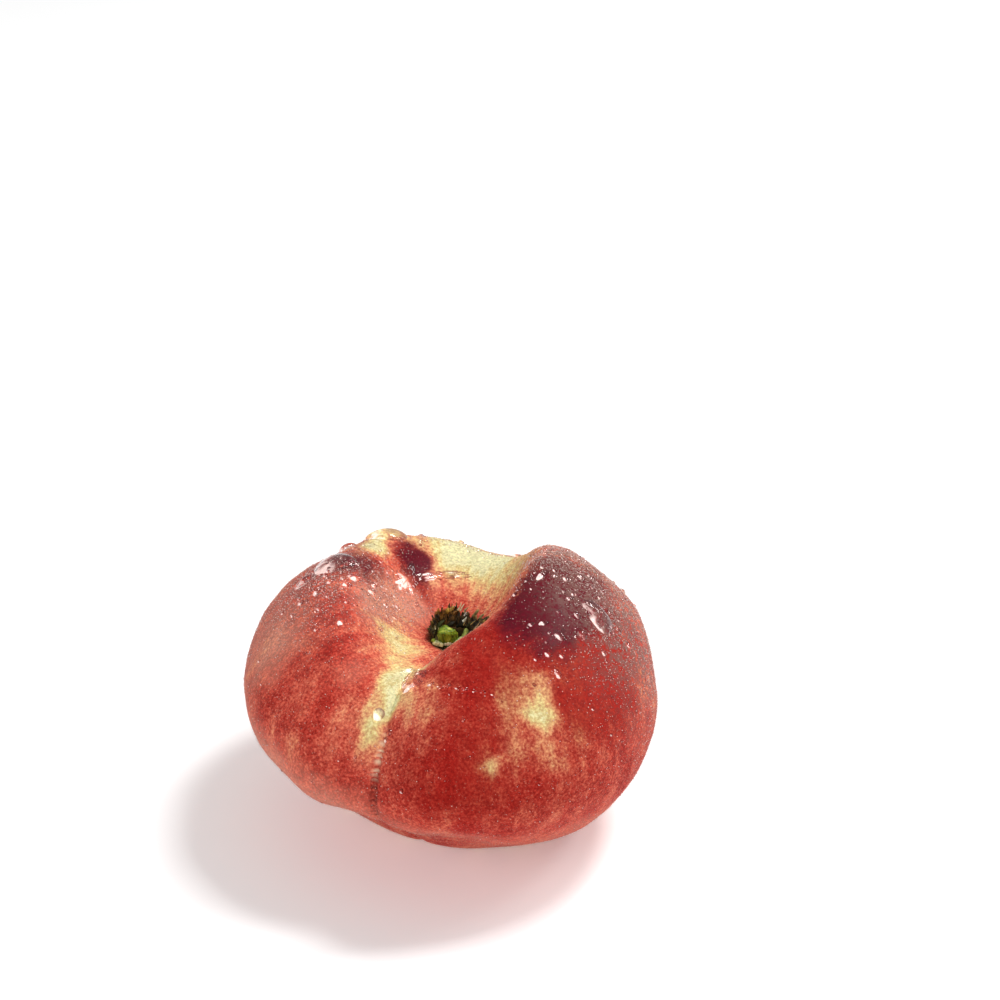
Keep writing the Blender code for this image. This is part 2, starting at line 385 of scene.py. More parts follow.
@dataclass
class Skin:
    """The fruit's surface in the part's frame, with its lumps and dimples, for every piece that lies on it."""
    form: PeachForm
    lump_size: float = 13 * MM
    lump_height: float = 0.16 * MM
    dimple_size: float = 4.5 * MM
    dimple_height: float = 0.035 * MM
    lumps_begin: tuple = (0.05, 0.3)
    lumps_end: tuple = (0.72, 0.80)

    def __post_init__(self) -> None:
        """Finds where the ground and the middle of the fruit's width and depth are."""
        around, along = np.meshgrid(np.linspace(-math.pi, math.pi, 720), np.linspace(0, 1, 600))
        points = self.form.surface(along, around)
        low, high = points.reshape(-1, 3).min(axis=0), points.reshape(-1, 3).max(axis=0)
        self.shift = np.array([*(-(low + high)[:2] / 2), -low[2] - self.form.rest_flat])

    def stalk(self) -> np.ndarray:
        """Where the stalk's axis meets the ground, in millimetres."""
        return np.array([*(self.shift[:2] / MM), 0.0])

    def plain(self, along: np.ndarray, around: np.ndarray) -> np.ndarray:
        """Points of the form in the part's frame, level where the fruit rests."""
        points = self.form.surface(along, around) + self.shift
        points[..., 2] = np.maximum(points[..., 2], 0)
        return points

    def frames(self, along: np.ndarray, around: np.ndarray) -> tuple[np.ndarray, ...]:
        """Points, outward normals and the two directions of the grid at places on the skin.

        Broad lumps and shallow dimples raise the points along the normal, but not near the ring it rests on.

        Args:
            along: shares of the way along the skin.
            around: azimuths in radians, of the same shape.

        Returns:
            Points, unit normals, and metres a unit of along and a unit of around, as vectors.
        """
        step = 1e-3
        down = (self.plain(along + step, around) - self.plain(along - step, around)) / (2 * step)
        across = (self.plain(along, around + step) - self.plain(along, around - step)) / (2 * step)
        normal = np.cross(across, -down)
        normal /= np.maximum(np.linalg.norm(normal, axis=-1, keepdims=True), 1e-12)
        points = self.plain(along, around)
        lumps = self.lump_height * ripples(points, self.lump_size, 3) * smooth_step(*self.lumps_begin, along)
        height = lumps + self.dimple_height * ripples(points, self.dimple_size, 5)
        height = height * (1 - smooth_step(*self.lumps_end, along))
        return points + normal * height[..., None], normal, down, across


# Colour of the skin

class Layer(Enum):
    """What a patch adds to the skin."""
    CREAM = "cream"
    DEEP = "deep"
    WINE = "wine"
    PALE = "pale"
    BLOOM = "painted_sheen"
    WET = "wet"


@dataclass(frozen=True)
class Patch:
    """A soft oval on the skin: middle and half widths in degrees round and share along, and strength."""
    azimuth: float
    along: float
    wide: float
    high: float
    amount: float = 1.0

    def cover(self, along: np.ndarray, around: np.ndarray) -> np.ndarray:
        """Amount times a flat-topped bell of the distance from the middle, in half widths."""
        turn = (around - math.radians(self.azimuth) + math.pi) % (2 * math.pi) - math.pi
        across = turn / math.radians(self.wide)
        down = (along - self.along) / self.high
        return self.amount * np.exp(-((across ** 2 + down ** 2) * 0.7) ** 1.1)


PATCHES: dict[Layer, tuple[Patch, ...]] = {
    Layer.CREAM: (
        # Along the suture, left, right and in the groove
        Patch(-3.0, 0.385, 3.4, 0.040, 0.52), Patch(-2.2, 0.43, 3.0, 0.035, 0.46), Patch(-4, 0.47, 4.5, 0.03, 0.20),
        Patch(-6, 0.335, 5, 0.035, 0.32), Patch(-13, 0.28, 12, 0.045, 0.44), Patch(-43, 0.17, 26, 0.05, 0.42),
        Patch(10, 0.405, 7, 0.022, 0.34), Patch(2, 0.335, 6, 0.05, 0.34), Patch(6, 0.28, 10, 0.05, 0.36),
        # Spots on the large lobe
        Patch(48.5, 0.450, 5.5, 0.026, 0.42), Patch(44, 0.418, 8, 0.030, 0.18), Patch(33, 0.484, 4.2, 0.015, 0.34),
        Patch(46, 0.46, 12, 0.050, 0.16), Patch(29, 0.425, 6, 0.02, 0.10),
        # Wall of the hollow at the back, the rim and both lobes' walls
        Patch(-172, 0.16, 60, 0.05, 0.30), Patch(-168, 0.27, 30, 0.055, 0.62), Patch(-176, 0.32, 30, 0.05, 0.30),
        Patch(-113, 0.315, 7, 0.030, 0.65), Patch(-126, 0.350, 9, 0.035, 0.5), Patch(-75, 0.17, 45, 0.07, 0.16),
        Patch(-32, 0.22, 16, 0.05, 0.30), Patch(120, 0.22, 50, 0.07, 0.50), Patch(60, 0.17, 40, 0.08, 0.25),
        Patch(-128, 0.22, 7, 0.06, -0.35), Patch(-178, 0.15, 60, 0.045, -0.40), Patch(-135, 0.265, 9, 0.035, -0.5),
        Patch(118, 0.22, 16, 0.05, -0.25),
        # Far side and underside
        Patch(-165, 0.40, 20, 0.08, 0.6), Patch(-150, 0.52, 12, 0.06, 0.45), Patch(138, 0.50, 15, 0.09, 0.5),
        Patch(-105, 0.53, 12, 0.06, 0.35), Patch(60, 0.80, 60, 0.05, 0.3), Patch(-100, 0.82, 70, 0.06, 0.4),
        Patch(180, 0.84, 50, 0.06, 0.45), Patch(0, 0.93, 200, 0.06, 0.5),
    ),
    Layer.DEEP: (
        Patch(33, 0.355, 14, 0.06, 1.0), Patch(-42, 0.39, 16, 0.04, 0.35), Patch(24, 0.47, 14, 0.07, 0.75),
        Patch(66, 0.44, 16, 0.05, 0.9), Patch(36, 0.55, 32, 0.08, 0.6), Patch(-130, 0.22, 9, 0.07, 1.0),
        Patch(157, 0.25, 5, 0.05, 0.4), Patch(72, 0.405, 20, 0.05, 0.9), Patch(-25, 0.46, 9, 0.04, 0.25),
        Patch(-130, 0.48, 14, 0.08, 0.7), Patch(170, 0.56, 25, 0.08, 0.8), Patch(105, 0.55, 20, 0.08, 0.6),
        Patch(65, 0.33, 24, 0.05, 0.7),
    ),
    Layer.WINE: (
        Patch(60, 0.332, 15, 0.042, 0.85), Patch(84, 0.332, 21, 0.050, 0.75), Patch(70, 0.368, 15, 0.032, 0.35),
        Patch(-92, 0.315, 13, 0.062, 0.95), Patch(-136, 0.262, 12, 0.050, 1.2), Patch(105, 0.38, 26, 0.07, 0.40),
        Patch(-142, 0.44, 10, 0.04, 0.6), Patch(165, 0.47, 9, 0.05, 0.5),
    ),
    Layer.PALE: (
        Patch(-56, 0.44, 12, 0.05, 0.75), Patch(-40, 0.60, 45, 0.07, 0.7), Patch(45, 0.66, 45, 0.05, 0.28),
        Patch(-62, 0.22, 32, 0.07, 0.9), Patch(-110, 0.17, 30, 0.06, 0.7), Patch(-20, 0.38, 9, 0.05, 0.4),
        Patch(-85, 0.5, 20, 0.1, 0.5), Patch(-150, 0.66, 60, 0.07, 0.5), Patch(120, 0.68, 50, 0.07, 0.5),
    ),
    # Painted sheen: the down's grey sheen on the shoulders, painted as a veil
    Layer.BLOOM: (
        Patch(-82, 0.375, 30, 0.055, 0.75), Patch(103, 0.38, 24, 0.075, 1.0), Patch(104, 0.47, 22, 0.08, 0.85),
        Patch(-98, 0.50, 20, 0.10, 0.45), Patch(125, 0.36, 26, 0.08, 0.7), Patch(-160, 0.40, 30, 0.06, 0.4),
        Patch(80, 0.39, 12, 0.04, 0.20), Patch(-70, 0.25, 25, 0.05, 0.35),
    ),
    Layer.WET: (
        Patch(-145, 0.22, 30, 0.06, 0.8), Patch(2, 0.34, 6, 0.06, 0.9), Patch(-95, 0.33, 20, 0.05, 0.5),
        Patch(52, 0.325, 18, 0.05, 0.8), Patch(70, 0.35, 14, 0.04, 0.7), Patch(28, 0.375, 12, 0.03, 0.6),
    ),
}


def layer_cover(layer: Layer, along: np.ndarray, around: np.ndarray) -> np.ndarray:
    """The sum of a layer's patches, 0 to 1.2."""
    return np.clip(sum(patch.cover(along, around) for patch in PATCHES[layer]), 0, 1.2)


def grain_places(along: np.ndarray, around: np.ndarray) -> np.ndarray:
    """Where the skin's streaks are read: a circle round the stalk, stretched along the skin."""
    return np.stack([9.0 * np.sin(around), 9.0 * np.cos(around), 7.0 * along], axis=-1)


@dataclass(frozen=True)
class SkinNoise:
    """Outputs that the steps of the skin's material share: places, noises of 0 to 1 and their sum about 0."""
    where: bpy.types.NodeSocket
    comb: bpy.types.NodeSocket
    fine: bpy.types.NodeSocket
    speck: bpy.types.NodeSocket
    uneven: bpy.types.NodeSocket


@dataclass(frozen=True)
class SkinFinish:
    """Colours of the skin and the sizes of what varies in them."""
    ripe: tuple = (
        (0.00, (0.71, 0.66, 0.37)), (0.20, (0.72, 0.57, 0.24)), (0.42, (0.72, 0.34, 0.16)),
        (0.62, (0.64, 0.145, 0.085)), (0.80, (0.52, 0.062, 0.040)), (1.00, (0.36, 0.018, 0.012)),
    )
    deep: tuple = (0.31, 0.006, 0.004)
    wine: tuple = (0.100, 0.003, 0.012)
    pale: tuple = (0.68, 0.33, 0.23)
    fleck: tuple = (0.78, 0.48, 0.33)
    # Grey of the painted sheen of the down
    painted_sheen: tuple = (0.235, 0.125, 0.105)
    # Wet skin under a drop, darker still at its edge from painted shade
    wet_and_painted_shade: tuple = (0.42, 0.26, 0.30)
    # Painted caustic light, where a drop's water gathers the light
    painted_caustic_light: tuple = (0.85, 0.62, 0.58)
    # Dark nicks, and painted shade beside the suture
    seam_dark_and_shade: tuple = (0.11, 0.012, 0.010)
    seam_light: tuple = (0.92, 0.70, 0.48)
    # Painted shade in the pit round the stalk, and the colour of the blossom end's scar
    socket: tuple = (0.07, 0.05, 0.015)
    redness: float = 0.80
    streak_share: float = 0.75
    blotch_share: float = 0.65
    fine_share: float = 0.34
    speck_share: float = 0.58
    grain_scale: float = 2700.0
    grain_share: float = 0.9
    dot_share: float = 0.36
    veil_share: float = 0.80
    dry_rough: float = 0.68
    wet_rough: float = 0.52
    wet_coat: float = 0.03
    relief: float = 0.14 * MM

    def noises(self, net: Net) -> SkinNoise:
        """Noise that runs along the skin, noise that doesn't, and their sum.

        Args:
            net: the material's nodes.

        Returns:
            The outputs.
        """
        where = net.add("TexCoord").outputs["Object"]
        grain = net.add("Attribute", attribute_name="grain").outputs["Vector"]
        streak = net.noise(grain, 1.0, 4, 0.6)
        drawn = net.add("Mapping", {"Vector": grain, "Scale": (0.5, 0.5, 9.0)}).outputs["Vector"]
        comb = net.noise(drawn, 1.0, 4, 0.65)
        blotch = net.noise(where, 210, 4, 0.6)
        fine = net.noise(where, 900, 3, 0.7)
        speck = net.noise(where, self.grain_scale, 2, 0.6)
        uneven = net.math("MULTIPLY", net.math("SUBTRACT", streak, 0.5), self.streak_share)
        for value, share in ((blotch, self.blotch_share), (fine, self.fine_share), (speck, self.speck_share)):
            uneven = net.math("MULTIPLY_ADD", net.math("SUBTRACT", value, 0.5), share, uneven)
        return SkinNoise(where, comb, fine, speck, uneven)

    def ground(self, net: Net, noise: SkinNoise) -> bpy.types.NodeSocket:
        """The ripe ramp, yellow where the cream patches are, under the pale, deep and wine patches.

        Args:
            net: the material's nodes.
            noise: the shared noises.

        Returns:
            The colour.
        """
        cream = net.value(Layer.CREAM.value)
        red = net.math("ADD", net.math("SUBTRACT", self.redness, cream), noise.uneven, clamp=True)
        colour = net.ramp(red, self.ripe)
        combed = net.math("MULTIPLY_ADD", net.math("SUBTRACT", noise.comb, 0.5), 1.5,
                          net.math("MULTIPLY", noise.uneven, 0.5))
        clear = net.math("SUBTRACT", 1.0, net.math("MULTIPLY", net.step(cream, 0.05, 0.60), 0.9))
        for layer, shade, low, high, share, extra in (
                (Layer.PALE, self.pale, 0.10, 1.1, 0.75, noise.uneven),
                (Layer.DEEP, self.deep, 0.05, 1.1, 0.85, noise.uneven),
                (Layer.WINE, self.wine, 0.05, 1.0, 0.95, combed)):
            cover = net.value(layer.value)
            field = net.math("ADD", cover, net.math("MULTIPLY", extra, 0.7))
            field = net.math("MULTIPLY", field, net.step(cover, 0.02, 0.45))
            field = net.math("MULTIPLY", field, clear)
            colour = net.mix(net.math("MULTIPLY", net.step(field, low, high), share), colour, rgba(shade))
        return colour

    def grained(self, net: Net, noise: SkinNoise, colour: bpy.types.NodeSocket) -> bpy.types.NodeSocket:
        """Light and dark grain all over, pale dots about a third of a millimetre apart, and the painted sheen's grey
        veil.

        Args:
            net: the material's nodes.
            noise: the shared noises.
            colour: the colour under it.

        Returns:
            The colour.
        """
        grains = net.math("MULTIPLY_ADD", noise.fine, 0.35, net.math("MULTIPLY", noise.speck, 0.65))
        spread = {"Value": grains, "From Min": 0.38, "From Max": 0.62, "To Min": 1.26, "To Max": 0.74}
        tone = net.add("MapRange", spread, clamp=True).outputs["Result"]
        grey = net.add("CombineColor", {0: tone, 1: tone, 2: tone}).outputs[0]
        colour = net.mix(self.grain_share, colour, grey, "MULTIPLY")
        deep = net.math("MAXIMUM", net.value(Layer.DEEP.value), net.value(Layer.WINE.value))
        dry = net.math("SUBTRACT", 1.0, net.math("MULTIPLY", deep, 0.62, clamp=True))
        cells = net.add("TexVoronoi", {"Vector": noise.where, "Scale": self.grain_scale})
        chance = net.add("SeparateColor", {0: cells.outputs["Color"]})
        round_dot = net.math("SUBTRACT", 1.0, net.step(cells.outputs["Distance"], 0.12, 0.42))
        # Painted sheen of the down, laid on below as a grey veil
        film = net.value(Layer.BLOOM.value)
        few = net.step(net.math("MULTIPLY_ADD", film, 0.45, chance.outputs[0]), 0.62, 1.0)
        dots = net.math("MULTIPLY", net.math("MULTIPLY", round_dot, few), dry)
        colour = net.mix(net.math("MULTIPLY", dots, self.dot_share), colour, rgba(self.fleck))
        patchy = net.math("ADD", noise.fine, net.math("SUBTRACT", noise.speck, 0.5))
        veil = net.math("MULTIPLY", film, net.step(patchy, 0.30, 0.64))
        return net.mix(net.math("MULTIPLY", veil, self.veil_share), colour, rgba(self.painted_sheen))

    def marked(self, net: Net, colour: bpy.types.NodeSocket) -> bpy.types.NodeSocket:
        """Skin under drops, darker where wet, with painted shade at a drop's edge and painted light where its water
        gathers the light, and the marks.

        Args:
            net: the material's nodes.
            colour: the colour under them.

        Returns:
            The colour.
        """
        wet_painted_shade_and_light = net.value("wet_painted_shade_and_light")
        # Darkening of wet skin, with painted shade towards a drop's edge
        colour = net.mix(net.math("MAXIMUM", wet_painted_shade_and_light, 0.0), colour, rgba(self.wet_and_painted_shade), "MULTIPLY")
        # Painted caustic light on the side of a drop away from the light
        painted_light_share = net.math("MAXIMUM", net.math("MULTIPLY", wet_painted_shade_and_light, -1.0), 0.0)
        colour = net.mix(painted_light_share, colour, rgba(self.painted_caustic_light), "SCREEN")
        # Marks: the suture's light and dark nicks with a line of painted shade beside them, then painted shade in the
        # pit round the stalk and the blossom end's scar
        for mark, shade in (("seam_light", self.seam_light), ("seam_dark_and_shade", self.seam_dark_and_shade), ("socket", self.socket)):
            colour = net.mix(net.value(mark), colour, rgba(shade))
        return colour

    def build(self) -> bpy.types.Material:
        """Mixes the layers, then makes the wet places a little smoother and the grain a low relief.

        Returns:
            The material.
        """
        material, net, shader = new_material("peach_down_skin", {
            "Specular IOR Level": 0.06, "Coat Roughness": 0.22, "Coat IOR": 1.33,
            "Sheen Weight": 0.015, "Sheen Roughness": 0.45, "Sheen Tint": (1.0, 0.86, 0.80, 1),
            "Subsurface Weight": 0.08, "Subsurface Radius": (1.0, 0.35, 0.2), "Subsurface Scale": 0.8 * MM})
        noise = self.noises(net)
        colour = self.grained(net, noise, self.ground(net, noise))
        net.feed(shader.inputs["Base Color"], self.marked(net, colour))
        damp = net.math("ADD", net.value(Layer.WET.value), net.math("MULTIPLY", noise.uneven, 0.6))
        wet = net.step(damp, 0.35, 0.75)
        rough = net.add("MapRange", {"Value": wet, "To Min": self.dry_rough, "To Max": self.wet_rough})
        net.feed(shader.inputs["Roughness"], rough.outputs["Result"])
        net.feed(shader.inputs["Coat Weight"], net.math("MULTIPLY", wet, self.wet_coat))
        relief = net.math("MULTIPLY_ADD", noise.speck, 0.5, net.math("MULTIPLY", noise.fine, 0.8))
        relief = net.math("MULTIPLY_ADD", net.math("MULTIPLY", noise.comb, wet), 1.4, relief)
        bump = net.add("Bump", {"Height": relief, "Distance": self.relief, "Strength": 0.8})
        net.feed(shader.inputs["Normal"], bump.outputs["Normal"])
        return material


@dataclass
class Fruit:
    """The fruit itself, one closed skin with its suture, hollow and blossom end."""
    skin: Skin
    columns: int = 480
    rows: int = 194
    crowding: float = 0.62
    finer: float = 1.6
    stitch_pitch: float = 0.0105
    stitch_depth: float = 0.16 * MM
    stitch_width: float = 0.45 * MM
    side_radius: float = 33 * MM
    line_offset: float = 0.35 * MM
    line_width: float = 0.30 * MM

    def grid(self) -> tuple[np.ndarray, np.ndarray]:
        """Shares along and azimuths of the rings, from the blossom end up, closer together at the suture's nicks."""
        even = np.linspace(-math.pi, math.pi, self.columns, endpoint=False)
        around = even - self.crowding * np.sin(even)
        share = np.linspace(0, 1, 4001)
        density = 1 + self.finer * smooth_step(0.40, 0.46, share) * (1 - smooth_step(0.66, 0.72, share))
        passed = np.concatenate([[0], np.cumsum((density[1:] + density[:-1]) / 2)])
        along = np.interp(np.linspace(1, 0, self.rows + 2), passed / passed[-1], share)
        return np.meshgrid(along, around, indexing="ij")

    def stitches(self, along: np.ndarray, around: np.ndarray) -> np.ndarray:
        """0 to 1 in short nicks that follow each other down the suture."""
        drift = self.skin.form.suture_drift * (along - 0.2)
        side = np.sin(around - drift) * self.side_radius
        side = side + 0.12 * MM * np.sin(210 * along) + 0.08 * MM * np.sin(370 * along)
        across = np.exp(-(side / self.stitch_width) ** 2)
        beat = 0.5 + 0.5 * np.sin(2 * math.pi * along / self.stitch_pitch + 1.5 * np.sin(170 * along))
        reach = smooth_step(0.43, 0.48, along) * (1 - smooth_step(0.66, 0.72, along))
        return across * beat ** 1.5 * reach * (np.cos(around) > 0)

    def seam_shade_line(self, along: np.ndarray, around: np.ndarray) -> np.ndarray:
        """0 to 1 in a thin line of painted shade beside the nicks, on the large lobe's side, down to where the fruit
        turns under.
        """
        side = np.sin(around - self.skin.form.suture_drift * (along - 0.2)) * self.side_radius
        across = np.exp(-((side - self.line_offset) / self.line_width) ** 2)
        return across * smooth_step(0.44, 0.56, along) * (1 - smooth_step(0.70, 0.76, along)) * (np.cos(around) > 0)

    def per_vertex(self, field: np.ndarray) -> np.ndarray:
        """A field of the grid in the order of the mesh's vertices, with one value at each pole."""
        return np.concatenate([field[0, :1], field[1:-1].ravel(), field[-1, :1]])

    def build(self, finish: bpy.types.Material) -> bpy.types.Object:
        """Makes the skin's mesh, stores the layers of colour on it and dresses it.

        Args:
            finish: material of the skin.

        Returns:
            The piece, which stands for the fruit's solid.
        """
        along, around = self.grid()
        points, normal, _, _ = self.skin.frames(along, around)
        points = points - normal * self.stitch_depth * self.stitches(along, around)[..., None]
        points[..., 2] = np.maximum(points[..., 2], 0)
        points[0], points[-1] = points[0].mean(axis=0), points[-1].mean(axis=0)
        piece = closed_tube("fruit_skin", points[1:-1], points[0, 0], points[-1, 0])
        flat = self.per_vertex
        # The patches' edges wander, so their ovals don't show
        sway = 0.020 * ripples(points, 9 * MM, 11) + 0.012 * ripples(points, 4 * MM, 12)
        slide = 0.005 * ripples(points, 8 * MM, 13) + 0.003 * ripples(points, 3.5 * MM, 14)
        for layer in Layer:
            give_values(piece, layer.value, flat(layer_cover(layer, along + slide, around + sway)))
        turns = grain_places(along, around)
        give_values(piece, "grain", np.concatenate([turns[0, :1], turns[1:-1].reshape(-1, 3), turns[-1, :1]]))
        give_values(piece, "wet_painted_shade_and_light", flat(np.zeros_like(along)))
        nicks = self.stitches(along, around)
        lower = smooth_step(0.505, 0.545, along)
        give_values(piece, "seam_light", flat(0.95 * nicks * (1 - lower)))
        # Dark lower nicks, and a line of painted shade beside the nicks
        give_values(piece, "seam_dark_and_shade", flat(0.70 * nicks * lower + 0.40 * self.seam_shade_line(along, around)))
        reach = np.hypot(*(points - self.skin.shift)[..., :2].transpose(2, 0, 1))
        # Painted shade in the pit round the stalk
        socket = (1 - smooth_step(3.2 * MM, 4.4 * MM, reach)) * (along < 0.5)
        # The blossom end's dry scar, the skin's own colour
        scar = reach * (1 + 0.25 * ripples(points, 2.5 * MM, 15))
        socket = socket + 0.9 * (1 - smooth_step(0.7 * MM, 1.6 * MM, scar)) * (along > 0.5)
        give_values(piece, "socket", flat(socket))
        piece.data.materials.append(finish)
        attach(piece, "root")
        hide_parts("fruit")
        return piece


@dataclass
class Down:
    """The fine hairs on the skin: thin three-sided spikes, in a few pieces of slightly different tints."""
    skin: Skin
    count: int = 25500
    thick: float = 0.011 * MM
    shortest: float = 0.10 * MM
    longest: float = 0.34 * MM
    sunk: float = 0.05 * MM
    bald: float = 0.92
    bald_on_deep: float = 0.5
    bald_on_cream: float = 1.3
    trials_each: int = 4
    tints: tuple = ((0.62, 0.27, 0.21), (0.52, 0.17, 0.13), (0.76, 0.50, 0.40))

    def places(self, rng: np.random.Generator) -> tuple[np.ndarray, np.ndarray]:
        """Even places over the skin: trial places are kept in proportion to the skin's area there.

        Args:
            rng: source of the random draws.

        Returns:
            Shares along and azimuths.
        """
        trials = self.count * self.trials_each
        along, around = rng.uniform(0.09, 0.985, trials), rng.uniform(-math.pi, math.pi, trials)
        _, _, down, across = self.skin.frames(along, around)
        area = np.linalg.norm(np.cross(down, across), axis=1)
        # The hairs lie flat and unseen under water and on the wet, dark part
        flat = layer_cover(Layer.WET, along, around) + layer_cover(Layer.WINE, along, around)
        flat = flat + self.bald_on_deep * layer_cover(Layer.DEEP, along, around)
        flat = flat + self.bald_on_cream * layer_cover(Layer.CREAM, along, around)
        dry = 1 - self.bald * np.clip(flat, 0, 1)
        keep = rng.uniform(0, area.max(), len(area)) < area * dry
        return along[keep][:self.count], around[keep][:self.count]

    def build(self) -> list[bpy.types.Object]:
        """Makes one piece for each tint.

        Returns:
            The pieces.
        """
        return [self.batch(number, tint) for number, tint in enumerate(self.tints, 1)]

    def batch(self, number: int, tint: tuple) -> bpy.types.Object:
        """One tint's hairs: each leans from the normal and narrows from a sunken triangle to a point.

        Args:
            number: number of the piece.
            tint: colour of its hairs.

        Returns:
            The piece.
        """
        rng = np.random.default_rng(100 + number)
        along, around = self.places(rng)
        foot, normal, down, _ = self.skin.frames(along, around)
        first = down / np.linalg.norm(down, axis=1, keepdims=True)
        second = np.cross(normal, first)
        lean = rng.normal(0, 0.40, (len(foot), 2))
        way = normal + first * (lean[:, :1] + 0.10) + second * lean[:, 1:]
        way /= np.linalg.norm(way, axis=1, keepdims=True)
        length = rng.uniform(self.shortest, self.longest, (len(foot), 1))
        length *= np.where(foot[:, 2:] < 1.5 * MM, 0.1, 1)
        corners = []
        for turn in (0.0, 2.1, 4.2):
            spin = first * math.cos(turn) + second * math.sin(turn)
            corners.append(foot - normal * self.sunk + spin * self.thick)
        tip = foot + way * length
        points = np.stack([*corners, tip], axis=1).reshape(-1, 3)
        pattern = np.array([[0, 2, 1], [0, 1, 3], [1, 2, 3], [2, 0, 3]])
        faces = copies(pattern, len(foot), 4)
        piece = make_mesh(f"down_{number}", np.maximum(points, [-1, -1, 0]), [faces])
        material, _, _ = new_material(f"down_{number}", {"Base Color": rgba(tint), "Roughness": 0.7})
        piece.data.materials.append(material)
        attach(piece, "root")
        return piece


# Water

@dataclass(frozen=True)
class Drop:
    """One drop on the skin: azimuth in degrees, share along, length, width and height in millimetres, turn."""
    azimuth: float
    along: float
    length: float
    width: float
    height: float
    turn: float = 0.0


@dataclass
class Lenses:
    """Meshes of many drops: points, polygons (top quads and triangles, then foot ones), places, and how wet the skin
    under them is, with painted shade and light.
    """
    points: np.ndarray
    polygons: list[np.ndarray]
    along: np.ndarray
    around: np.ndarray
    wet_painted_shade_and_light: np.ndarray


def drop_outlines(angle: np.ndarray, count: int, seed: int, ragged: float) -> np.ndarray:
    """How far each drop reaches at each angle, about 1: two slow waves, and shorter ones that tear it.

    Args:
        angle: angles round a drop.
        count: number of drops.
        seed: start of the random draws.
        ragged: how much the shorter waves tear it, as a share of the reach.

    Returns:
        One row a drop.
    """
    rng = np.random.default_rng(seed)
    total = 1 + 0.07 * np.sin(2 * angle + rng.uniform(0, 6, (count, 1)))
    total = total + 0.05 * np.sin(3 * angle + rng.uniform(0, 6, (count, 1)))
    for waves in (4, 5, 7, 9, 13):
        total = total + ragged * 0.5 * np.sin(waves * angle + rng.uniform(0, 6, (count, 1)))
    return total


def drop_profile(foot: float, rings: list[float] | np.ndarray, top: float, columns: int) -> np.ndarray:
    """A value for each vertex of a drop: the foot's pole, the rings outwards and up, and the top's pole."""
    return np.concatenate([[foot], np.repeat(rings, columns), [top]])


